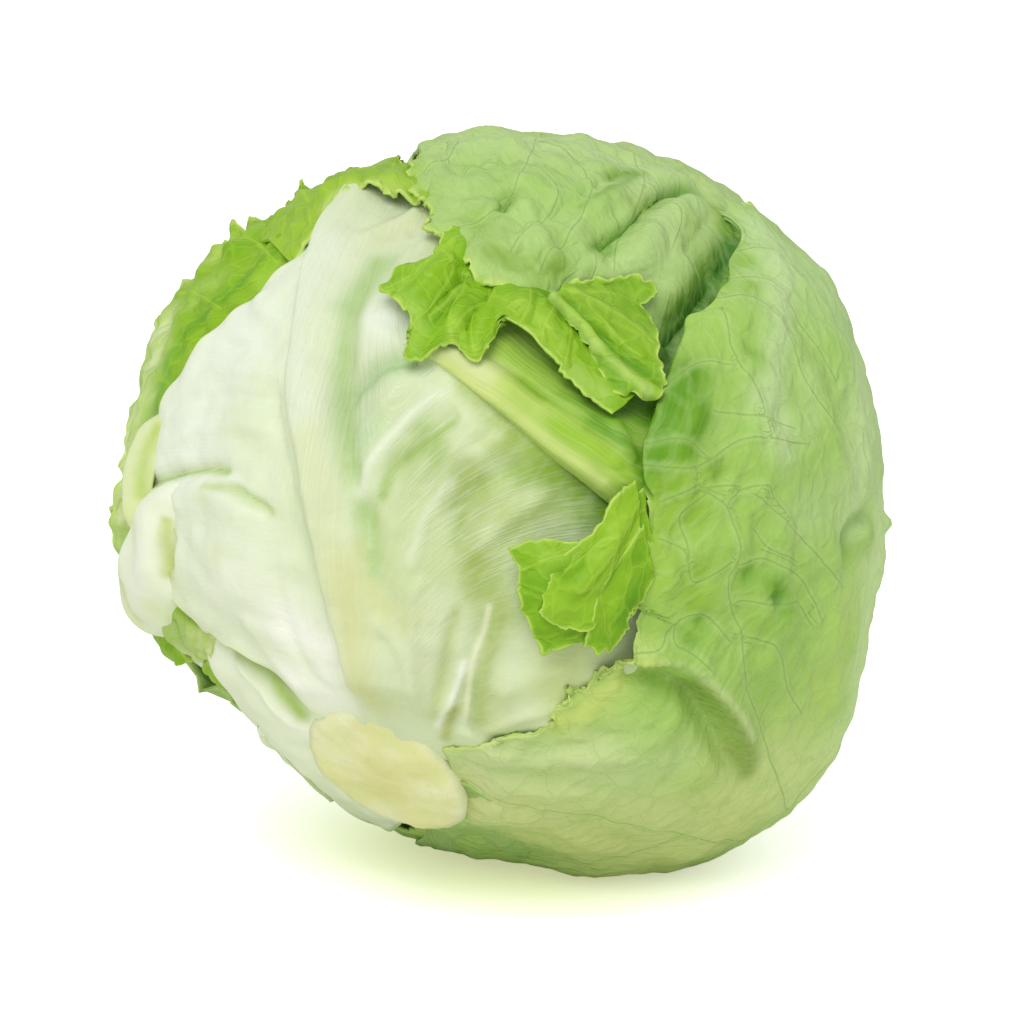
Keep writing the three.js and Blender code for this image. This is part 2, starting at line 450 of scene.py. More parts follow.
class Wire:
    # A value or colour that changes over a surface, with the sums that are made on it.
    def __init__(self, finish, socket):
        self.finish = finish
        self.socket = socket

    def math(self, operation, *values):
        return self.finish.node("Math", {"operation": operation}, dict(enumerate(values)))

    def __add__(self, other):
        return self.math("ADD", self, other)

    __radd__ = __add__

    def __mul__(self, other):
        return self.math("MULTIPLY", self, other)

    __rmul__ = __mul__

    def __sub__(self, other):
        return self.math("SUBTRACT", self, other)

    def __rsub__(self, other):
        return self.math("SUBTRACT", other, self)

    def __abs__(self):
        return self.math("ABSOLUTE", self)

    def fade(self, low, high):
        # 0 below low, 1 above high, or the other way round.
        sockets = {"Value": self, "From Min": low, "From Max": high}
        return self.finish.node("MapRange", {"interpolation_type": "SMOOTHSTEP"}, sockets)


class Finish:
    # The nodes of a material or of the world.
    def __init__(self, holder):
        self.holder = holder
        self.holder.use_nodes = True
        self.tree = holder.node_tree
        self.tree.nodes.clear()

    def node(self, kind, settings=None, sockets=None, output=0):
        made = self.tree.nodes.new("ShaderNode" + kind)
        for name, value in (settings or {}).items():
            setattr(made, name, value)
        for name, value in (sockets or {}).items():
            if isinstance(value, Wire):
                self.tree.links.new(value.socket, made.inputs[name])
            else:
                made.inputs[name].default_value = value
        return Wire(self, made.outputs[output])

    def attribute(self, name, output="Fac"):
        return self.node("Attribute", {"attribute_name": name}, output=output)

    def noise(self, place, scale, detail, output="Fac", settings=None, **sockets):
        return self.node("TexNoise", settings, {"Vector": place, "Scale": scale, "Detail": detail, **sockets},
                         output)

    def cells(self, place, scale):
        # The distance from the borders between the cells of a net.
        settings = {"voronoi_dimensions": "2D", "feature": "DISTANCE_TO_EDGE"}
        return self.node("TexVoronoi", settings, {"Vector": place, "Scale": scale}, "Distance")

    def blend(self, below, above, share):
        # Colours are mixed by a share, below in the node's sixth socket and above in its seventh.
        return self.node("Mix", {"data_type": "RGBA"}, {0: share, 6: below, 7: above}, 2)

    def vector(self, operation, first, second):
        return self.node("VectorMath", {"operation": operation}, {0: first, 1: second})

    def skin(self, colour, rough, specular, height):
        # Plant skin with a relief in millimetres.
        bump = self.node("Bump", {}, {"Height": height, "Distance": metres, "Strength": 1.0})
        sockets = {"Base Color": colour, "Roughness": rough, "Normal": bump, "Specular IOR Level": specular}
        return self.node("BsdfPrincipled", {}, sockets)

    def close(self, surface, end="OutputMaterial"):
        made = self.tree.nodes.new("ShaderNode" + end)
        self.tree.links.new(surface.socket, made.inputs["Surface"])
        return self.holder


def rgba(code):
    return (*tone(code), 1)


def leafFinish(name, look):
    # A leaf's skin: its own tint, a net of fine veins, fine lines along the growth and a pale rim.
    leaf = Finish(bpy.data.materials.new(name))
    flow = leaf.attribute("flow", "Vector")
    vein = leaf.attribute("vein")
    place = leaf.node("TexCoord", output="Object")
    shift = leaf.vector("SUBTRACT", leaf.noise(place, 260, 2, "Color"), (0.5, 0.5, 0.5))
    bent = leaf.vector("ADD", flow, leaf.vector("MULTIPLY", shift, (look["wander"],) * 3))
    coarse = leaf.cells(leaf.vector("MULTIPLY", bent, (1, 0.72, 1)), 1 / look["net"])
    finer = leaf.cells(bent, 3.1 / look["net"])
    lineSpace = leaf.vector("MULTIPLY", flow, (look["lineAcross"], look["lineAlong"], 1))
    lines = leaf.noise(lineSpace, 1, 3, settings={"noise_dimensions": "2D"})
    grain = leaf.noise(place, 2600, 2)
    cloud = leaf.noise(place, 75, 3)
    patch = leaf.noise(place, 190, 2)
    lineShare = leaf.attribute("lined") * lines.fade(0.42, 0.68)
    netLine = coarse.fade(0.045, 0.012)
    netHalo = coarse.fade(0.2, 0.04)
    meshLine = finer.fade(0.08, 0.02)
    veinLine = abs(leaf.attribute("veinSide")).fade(look["veinWidth"], 0.06) * vein.fade(1.4, 1.0)
    veinHalo = vein.fade(1.8, 0.3)
    colour = leaf.attribute("tint", "Color")
    for over, share in [
        ("cloud", cloud.fade(0.45, 0.72) * look["cloudAmount"]),
        ("patch", patch.fade(0.54, 0.72) * look["patchAmount"]),
        ("halo", netHalo * look["netHalo"]),
        ("halo", veinHalo * look["veinHalo"]),
        ("line", lineShare * look["lineAmount"]),
        # on the green leaves these vein and net lines are darker: painted shade in their grooves
        ("vein", netLine * look["netAmount"]),
        ("vein", meshLine * (look["netAmount"] * 0.4)),
        ("vein", veinLine * look["veinAmount"]),
        # the pale rim: partly the margin's own paler colour and partly a painted glow of light through the
        # thin edge
        ("rim", leaf.attribute("edge").fade(0.6, 0.1) * look["rimAmount"]),
    ]:
        colour = leaf.blend(colour, rgba(look[over]), share)
    height = veinHalo * look["veinHeight"] + netHalo * look["netHeight"] - veinLine * 0.06
    height = height + lineShare * look["lineHeight"] + grain * look["grainHeight"]
    height = height + (patch + cloud) * look["wrinkle"]
    rough = grain.fade(0.3, 0.7) * 0.16 + look["rough"]
    return leaf.close(leaf.skin(colour, rough, look["specular"], height))


# Sizes and heights are millimetres, lineAcross and lineAlong are lines to a millimetre, and what ends in
# Amount or Halo is a share of 1.
greenLook = {
    "net": 5.4, "wander": 3.4, "netAmount": 0.17, "netHalo": 0.1, "netHeight": 0.12,
    # the darker vein colour is painted shade in the grooves of the veins and of their net
    "vein": "84A94C", "veinAmount": 0.5, "halo": "C0DC8C", "veinHalo": 0.26, "veinHeight": 0.24,
    "veinWidth": 0.26,
    "lineAcross": 0.9, "lineAlong": 0.05, "line": "C4E392", "lineAmount": 0.25, "lineHeight": 0.03,
    "cloud": "8BC33C", "cloudAmount": 0.15, "patch": "7DB32A", "patchAmount": 0.15,
    "rim": "C8E27A", "rimAmount": 0.4,
    "grainHeight": 0.03, "wrinkle": 0.9, "rough": 0.38, "specular": 0.26,
}
paleLook = dict(
    greenLook, net=5.0, netAmount=0.03, netHalo=0.05, netHeight=0.02, vein="D8E4B8", veinAmount=0.3,
    halo="F8FBF0",
    line="EAF1D6", lineAmount=0.26, lineHeight=0.07, lineAcross=0.13, lineAlong=2.1,
    cloud="EEF4DC", cloudAmount=0.16, patch="D4E2A8", patchAmount=0.14, rim="E4EDC0", rimAmount=0.4,
    grainHeight=0.05, wrinkle=0.45, rough=0.34, specular=0.32,
)
ruffleLook = dict(
    greenLook, net=4.4, netAmount=0.22, netHalo=0.22, vein="B0D44C", halo="9ECA30", cloud="62A004",
    cloudAmount=0.4,
    patch="90C012", patchAmount=0.25, line="98C62C", lineAmount=0.2, rim="D6EE7E", rimAmount=0.45, rough=0.36,
    veinAmount=0.4, veinHalo=0.16, veinHeight=0.28, veinWidth=0.4, wrinkle=0.8, specular=0.22,
)
foldLook = dict(
    ruffleLook, netAmount=0.0, netHalo=0.0, netHeight=0.0, cloudAmount=0.12, patchAmount=0.1,
    line="DDE99A", lineAmount=0.16, lineHeight=0.05, lineAcross=1.1, lineAlong=0.05, wrinkle=0.4,
)
heartLook = dict(greenLook, netAmount=0.12, cloudAmount=0.2, veinAmount=0.3)

finishes = {
    name: leafFinish(name, look)
    for name, look in {
        "leafGreen": greenLook, "leafPale": paleLook, "leafRuffle": ruffleLook, "leafFold": foldLook,
        "leafHeart": heartLook,
    }.items()
}
print("leaf finishes made:", len(finishes))

# What every sheet has unless its own dictionary says otherwise, and what each kind of leaf adds.
# ridges: path, height, width, ends; dabs: path, width, colour, strength; lined: path, width, strength;
# still: path, width; bumps and creases: size, height, seed; waves and teeth: size, height, reach inwards.
plainSheet = {
    "seed": 0, "depth": 0, "thickness": 0.8, "crowd": (0.1, 0.1),
    "margins": [], "still": [], "waves": [], "teeth": [],
    "ridges": [], "veins": [], "veinSink": 0, "bumps": [], "creases": [],
    "lines": 1.0, "lined": [], "dabs": [],
}
greenSheet = plainSheet | {"slot": "green_leaf", "finish": "leafGreen"}
paleSheet = plainSheet | {"slot": "pale_leaf", "finish": "leafPale"}
foldSheet = plainSheet | {"slot": "ruffled_leaf", "finish": "leafFold"}
brightSheet = plainSheet | {"slot": "ruffled_leaf", "finish": "leafRuffle"}
brightLobe = brightSheet | {"crowd": (0.2, 0.2), "margins": ["left", "right", "tip"], "teeth": [(5, 0.22, 2)]}
heartSheet = plainSheet | {"slot": "heart_leaf", "finish": "leafHeart", "collar": (0, 0.1), "thickness": 0.9}


def frontFlow(tilt, turn):
    # Fine lines that run out over the left blade and fan out from the rib over the right one.
    leftLines = 1.4 * tilt + 0.5 * turn
    rightLines = 0.9 * turn - 0.85 * tilt - 0.007 * (turn - 25) ** 2
    onRight = smooth(turn, -16, 12)
    return np.stack([turn, leftLines * (1 - onRight) + rightLines * onRight, 0 * tilt], -1)


# The broad pale leaf in front, with its thick rib.
frontLeaf = paleSheet | {
    "name": "frontLeaf", "node": "front_leaf", "seed": 11, "depth": 5.6, "thickness": 0.9,
    "grid": (228, 208), "crowd": (0.2, 0.0),
    "curves": [
        [[5, -40], [14, -45], [19, -43.5], [23.5, -43], [27.5, -45.5], [30.5, -48], [32, -50.5],
         [34.5, -51.5], [36, -54], [38.5, -53], [41, -54.5], [44, -55.5], [46.5, -54], [50, -52], [56, -50],
         [61, -52.5], [65, -49], [67, -45], [69, -42], [71.5, -38], [75, -33], [78, -28], [82, -21],
         [84, -20], [88, -16], [90, -15], [95, -15], [102, -15], [107, -10], [110, -7]],
        [[5, 14], [18, 11], [26, 10], [38, 4], [52, -2], [63, -6], [74, -7], [86, -8], [96, -7], [103, -2],
         [108, 2]],
        [[5, 96], [18, 96], [32, 90], [46, 82, -1], [55, 70, -2.4], [62, 57, -2.4], [66.5, 44, -0.6],
         [70, 32], [73, 22], [77, 16], [84, 16], [92, 16], [100, 14], [108, 10]],
    ],
    "margins": ["left"],
    "ridges": [
        # the rib: a broad rise with a crisp left shoulder, wide and low near the stem
        ([[12, 0], [23, 3], [38, -1], [51, -4], [62, -7.5], [74, -8.5], [86, -9.5], [96, -9.5], [103, -9],
          [109, -9]],
         4.4, (2.2, 6.5), (0.01, 0.1)),
        ([[12, 20], [20, 17], [28, 13]], 1.2, 8, (0.01, 0.5)),
        # the groove at its right
        ([[30, 14], [41, 9.5], [47, 7], [54, 3.5], [64, 1], [75, 0], [84, 0.5]], -2.4, (2.6, 3.0),
         (0.25, 0.2)),
        ([[70, -13.5], [60, -12], [50, -9], [38, -6], [26, -4]], -0.7, (1.0, 2.2), (0.2, 0.2)),
        # the white bulge high on the right lobe and the valley below it
        ([[75, 6]], 1.6, 7),
        ([[70, 14], [69, 11], [67, 7], [63, 3], [59, 0]], -1.7, (1.6, 2.4), (0.1, 0.3)),
        # folds that fan out over the right lobe
        ([[66, 12], [61, 9], [56, 5], [50, 3]], 0.9, 1.6),
        ([[66, 20], [61, 15], [57, 12], [53, 9], [48, 7], [42, 6]], 1.4, 1.8),
        ([[63, 23], [61, 21], [56, 17], [52, 13], [46, 12]], -1.1, 1.7),
        ([[64, 30], [59, 25], [54, 22], [51, 18], [45, 17], [38, 12]], 1.2, 2.0),
        ([[63, 33], [58, 29], [56, 25], [49, 22]], 0.9, 1.8),
        ([[60, 38], [56, 33], [52, 30], [48, 28], [43, 29]], -1.4, 2.2),
        ([[52, 25], [46, 22], [39, 21], [30, 19]], 1.1, 2.0),
        ([[58, 45], [52, 40], [46, 36], [40, 33]], 1.0, 2.2),
        ([[30, 12], [23, 26], [13, 45]], 1.3, 2.0, (0.15, 0.05)),
        ([[38, 25], [32, 24], [23, 29], [14, 43]], 1.1, 1.8),
        ([[34, 36], [29, 38], [22, 42], [13, 52]], -1.2, 1.6),
        ([[28, 45], [23.5, 48.5], [18, 53], [12, 60]], 1.3, 1.2, (0.3, 0.02)),
        ([[37, 43], [32.5, 46], [28, 48], [24.5, 51], [21.5, 55.5], [16, 68]], 0.7, (2.2, 0.5), (0.3, 0.1)),
        # the step at the flap's edge, and the dark slot at the stem
        ([[37, 44.5], [32.5, 47.5], [28, 49.6], [24.5, 53], [21.5, 58], [16, 72]], -2.3, (0.7, 5),
         (0.3, 0.02)),
        ([[18, 55.5], [15, 61], [12, 70], [10, 80]], -1.8, 1.2, (0.1, 0.02)),
        ([[24, 62], [32, 66], [38, 72]], 1.0, 2.6),
        ([[18, 74], [26, 76], [34, 80]], 0.9, 1.6),
        # folds left of the rib close to the stem
        ([[14, -20], [24, -22], [34, -18], [42, -14]], -0.8, 2.0),
        ([[16, -34], [26, -36], [34, -32]], 0.8, 2.4),
        # the crease across the left blade and the full lobe below it
        ([[61, -50], [60, -47], [58, -39.5], [56, -31.5], [53.5, -24], [51, -17]], -1.8, (2.0, 0.9),
         (0.05, 0.3)),
        ([[54.5, -41], [53.5, -33.5], [51, -26], [47, -20], [43, -15]], 1.9, (1.6, 4.5), (0.1, 0.3)),
        ([[38, -30]], 3.2, 13),
        ([[47, -26]], 1.8, 9),
        ([[50.5, -44], [48.5, -46.5], [46, -50]], -2.6, (1.6, 2.4)),
        ([[52.5, -29], [50.5, -22.5], [47.5, -17.5], [45, -13]], -1.2, 1.0),
        ([[40, -28]], -0.7, 3),
        ([[40, -38]], -0.6, 3),
        ([[31, -43]], -0.8, 3),
        # long soft furrows that run from the rib to the left margin
        ([[62, -9], [65, -21], [68, -33], [68, -40]], -0.7, 1.5),
        ([[66, -10], [69, -20], [72, -30]], 0.8, 1.8),
        ([[70, -12], [73, -20], [76, -27]], -0.6, 1.5),
        ([[58, -12], [61, -24], [63, -36], [63, -46]], 0.8, 1.8),
        ([[76, -13], [80, -19], [84, -18]], 0.6, 1.6),
        # the top of the rib, where it fans out
        ([[90, -4], [97, 2], [103, 6]], 0.9, 1.6),
        ([[92, 4], [98, 9]], -0.8, 1.6),
        ([[84, 4], [92, 9]], 0.7, 2.0),
    ],
    "bumps": [(20, 0.35, 3), (8, 0.13, 4)],
    "waves": [(15, 0.3, 7)],
    "colour": "DCE8BE",
    "lines": 0.3,
    "lined": [([[62, 10], [54, 20], [46, 30], [50, 46]], 16, 1.0), ([[34, 30], [24, 34]], 10, 0.7),
              ([[78, -24], [66, -28]], 9, 0.4)],
    "dabs": [
        # the white left blade
        ([[60, -36]], 22, "F1F6E8", 0.95),
        ([[76, -22]], 16, "EEF5E6", 0.9),
        ([[88, -14]], 10, "E8F1DA", 0.8),
        ([[61, -20], [54, -15]], 6, "DFEAC6", 0.8),
        ([[36, -32]], 18, "EEF3DE", 0.95),
        ([[46, -38]], 6, "E8EFD8", 0.8),
        ([[28, -20], [22, -8], [15, -22], [20, -36]], 7, "FFFFF6", 0.95),
        # the rib, yellower towards the stem
        ([[88, -7], [74, -8.5], [62, -5.5], [54, -2.5]], 4, "E4EDD2", 0.95),
        ([[56, -3], [44, 1], [35, 5]], 3.8, "DCE4B4", 0.95),
        ([[36, 5], [26, 7.5], [13, 9]], 4.0, "DADCA0", 0.95),
        ([[40, 8], [34, 12], [30, 16]], 1.8, "DCDC92", 0.7),
        # the right blade, greener than the left; painted highlights on its fold crests, painted shade in its
        # valleys, the rib's groove and foot
        ([[58, 14], [48, 20], [40, 26]], 8, "C8DA9C", 0.9),
        ([[57, 6]], 5, "C6DFAC", 0.8),
        ([[44, 12], [36, 17]], 4, "CCDAA0", 0.9),
        ([[54, 24], [51, 31], [50, 42]], 6, "A4BC5C", 0.85),
        ([[59, 17], [54, 24]], 3, "A8C470", 0.85),
        ([[57, 51], [59, 44]], 6.0, "92B448", 0.9),
        ([[71, 25], [66, 29], [62, 35], [59, 41]], 1.8, "8CAC3C", 0.8),
        ([[60, 30], [61, 38]], 3.2, "9CBC58", 0.85),
        ([[42, 37], [36, 47]], 5, "ADC26C", 0.9),
        ([[31, 33]], 6, "DCE4BA", 0.9),
        ([[30, 21]], 5, "D4DCA4", 0.9),
        ([[24, 34], [16, 44]], 4, "DFE6BE", 0.8),
        ([[33, 74], [40, 66]], 7, "CCDA90", 0.9),
        ([[24, 60], [22, 72]], 5, "C8D596", 0.8),
        ([[75, 6]], 6, "F0F6E6", 0.95),
        ([[78, -1], [86, 3]], 3.5, "B8D494", 0.85),
        ([[36, 12], [44, 8.5], [54, 3.5], [64, 0.5], [75, -0.5], [86, 1]], 2.2, "AFCC80", 0.85),
        ([[54, -11], [44, -8.5], [36, -6]], 0.8, "D6E0BC", 0.5),
        ([[72, 14], [69, 12], [67, 8], [63, 4]], 2.6, "AECF90", 0.85),
        ([[66, 20], [61, 15], [57, 12], [53, 9], [48, 7]], 1.8, "EAF2D8", 0.85),
        ([[61, 22], [56, 17], [52, 13], [48, 12]], 1.6, "9CBA58", 0.85),
        ([[63, 31], [58, 27], [54, 24], [50, 20]], 1.4, "D9E6B4", 0.7),
        ([[58, 36], [54, 32], [50, 29], [44, 30]], 1.8, "8CAE42", 0.75),
        ([[52, 25], [46, 22], [39, 21]], 1.6, "E2EBC8", 0.7),
        ([[64, 36], [60, 44], [59, 54]], 3.6, "7CA434", 0.85),
        ([[34, 36], [29, 38], [22, 42], [14, 51]], 1.4, "BFCF88", 0.7),
        # the flap and the slot at the stem: painted highlights along the flap's edge and fold, painted shade
        # in the slot and under the flap's step
        ([[37, 46], [32, 49.5], [28, 52], [24, 57], [20, 66]], 2.4, "B0C272", 0.85),
        ([[36.5, 43.5], [32.5, 46], [28, 48], [24.5, 51], [21.5, 55.5], [17, 66]], 0.7, "EEF2CC", 0.9),
        ([[26, 46.5], [23, 48.5], [18, 53], [13, 58]], 1.0, "F6F8EA", 0.9),
        ([[18, 55.5], [15, 61], [12, 70]], 1.5, "B4BE68", 0.85),
        # creases of the left blade, drawn darker green as painted shade
        ([[61, -50], [60, -47], [58, -39.5], [56, -31.5], [53.5, -24]], 0.9, "A9C85C", 0.85),
        ([[52.5, -29], [50.5, -22.5], [47.5, -17.5], [45.5, -14]], 0.9, "BDD488", 0.8),
        ([[63, -47], [59.5, -48.5], [57, -50.5]], 1.3, "BDD05C", 0.85),
        ([[50.5, -44], [48.5, -46.5], [46, -49.5]], 1.9, "B8C650", 0.9),
        ([[51, -30]], 2.4, "E2EABC", 0.6), ([[42.5, -30]], 2.2, "DCE6B4", 0.6),
        # the top, greener under the frills as painted shade
        ([[92, 1], [98, 6]], 4, "DEE4B0", 0.7),
        ([[104, -12], [108, -6], [108, 4]], 4, "C8DB8C", 0.8),
        ([[88, 12], [96, 12]], 4, "D0DFA8", 0.8),
        # the greener tone low on the right lobe, and painted shadow beside the rolled leaf's edge and in the
        # valleys low on the right lobe
        ([[66, 24], [60, 33], [52, 37], [44, 38]], 8, "BCD078", 0.38),
        ([[67, 22], [64.5, 27], [62.5, 32], [61.5, 38]], 2.4, "A0B850", 0.7),
        ([[57, 37.5], [59.5, 42.5], [60, 48]], 2.8, "8AAC34", 0.85), ([[57, 52], [60, 55]], 3, "7CA624", 0.9),
        ([[55, 28], [51, 30.5], [45, 32.5], [37, 38.5]], 2.8, "A0B650", 0.62),
        ([[52.5, 41.5], [55, 46.5], [51, 49]], 2.6, "96B24A", 0.55),
    ],
    "rim": ("E2EBB8", 1.0, 0.6),
    "flow": frontFlow,
}

# Its left edge, rolled over low on the left.
rolledEdge = paleSheet | {
    "name": "rolledEdge", "node": "front_leaf", "thickness": 0.9, "grid": (48, 96),
    "curves": [
        [[55, -36, -8], [57.5, -42, -7], [58, -48, -6.6], [57, -54, -6.6], [56.5, -61, -7], [55.5, -68, -7.6],
         [54, -73.5, -8], [51.5, -76, -8.4], [49.5, -76, -8.6], [47, -74, -8.8]],
        [[54.8, -36, -7.6], [56.5, -41.5, -5], [56.3, -47, -4], [55.5, -52, -3.8], [54.5, -57, -3.8],
         [53.8, -63, -4], [53, -69, -4.2], [50.5, -72, -4.6], [48, -72.5, -5.2], [46, -72, -6.6]],
        [[54.6, -36, -7.4], [55, -41, -4], [54.2, -45.5, -3], [51.8, -48.5, -2.7], [49.5, -52, -2.6],
         [48, -57, -2.7], [47.2, -62, -3], [46.6, -66.5, -3.6], [46, -69.5, -4.6], [45, -71, -6.8]],
        [[54.3, -36, -7.4], [53.5, -40, -4.8], [52, -43.5, -4.2], [50, -46.3, -4.2], [47, -50.5, -4.2],
         [44.6, -55, -4.4], [44, -59.5, -4.6], [43.6, -63.5, -5], [43.8, -67, -5.8], [44.2, -69.5, -7.4]],
        [[54, -36, -7.6], [52.3, -39.5, -6.8], [50.6, -42.5, -7], [48.6, -45.5, -7.2], [45.6, -49.5, -7.4],
         [43, -54, -7.8], [42.4, -58.5, -8], [42.4, -63, -8.2], [43, -67, -8.4], [43.8, -69, -8.8]],
    ],
    "ridges": [
        ([[52.5, -62], [49, -68], [45, -67]], -0.8, 2.0),
    ],
    "bumps": [(12, 0.25, 17)],
    "lines": 0.05,
    "colour": "F0F6DC",
    "dabs": [
        # darker green in the fold and along the dent is painted shade; the palest line along the roll's crest
        # is a painted highlight
        ([[52, -43], [49.5, -46], [46, -50.5]], 1.0, "BECB5E", 0.75),
        ([[52.5, -64], [49, -68]], 2.6, "D6E09C", 0.8),
        ([[52, -49], [49, -54], [47, -60]], 2.2, "F2F5E6", 0.8),
        ([[45, -60], [43, -62]], 2.2, "E4EEB8", 0.8), ([[53, -72], [49, -73]], 3, "F0F6C0", 0.9),
    ],
}

# The narrow turned rim above it.
edgeBand = paleSheet | {
    "name": "edgeBand", "node": "front_leaf", "grid": (24, 64),
    "curves": [
        [[70, -43, -8], [68.5, -46, -6.2], [66.5, -48.5, -5.4], [64.5, -50, -5], [61, -52.5, -5],
         [58, -54.5, -5.2], [55, -56, -6.8]],
        [[69.8, -42.5, -7.6], [68, -44.5, -5.2], [65.5, -46.5, -4.3], [63, -49, -3.8], [60, -51, -3.8],
         [57.5, -52.5, -4], [54.8, -54, -6]],
        [[69, -37, -8.4], [66.5, -40, -7.6], [64.5, -42.5, -7.2], [62.5, -44.5, -7], [60, -47, -6.8],
         [57.5, -49, -6.8], [54.6, -51, -7.6]],
    ],
    "lines": 0.05,
    "colour": "DDE8A8",
    # a painted highlight along the band's crest and painted shade on its inner side, beside the front leaf's
    # margin
    "dabs": [([[68, -43.5], [64, -48], [60, -51]], 1.2, "E0EBB8", 0.8),
             ([[67, -42], [63, -46], [59, -49]], 1.2, "B4CE5C", 0.8)],
}

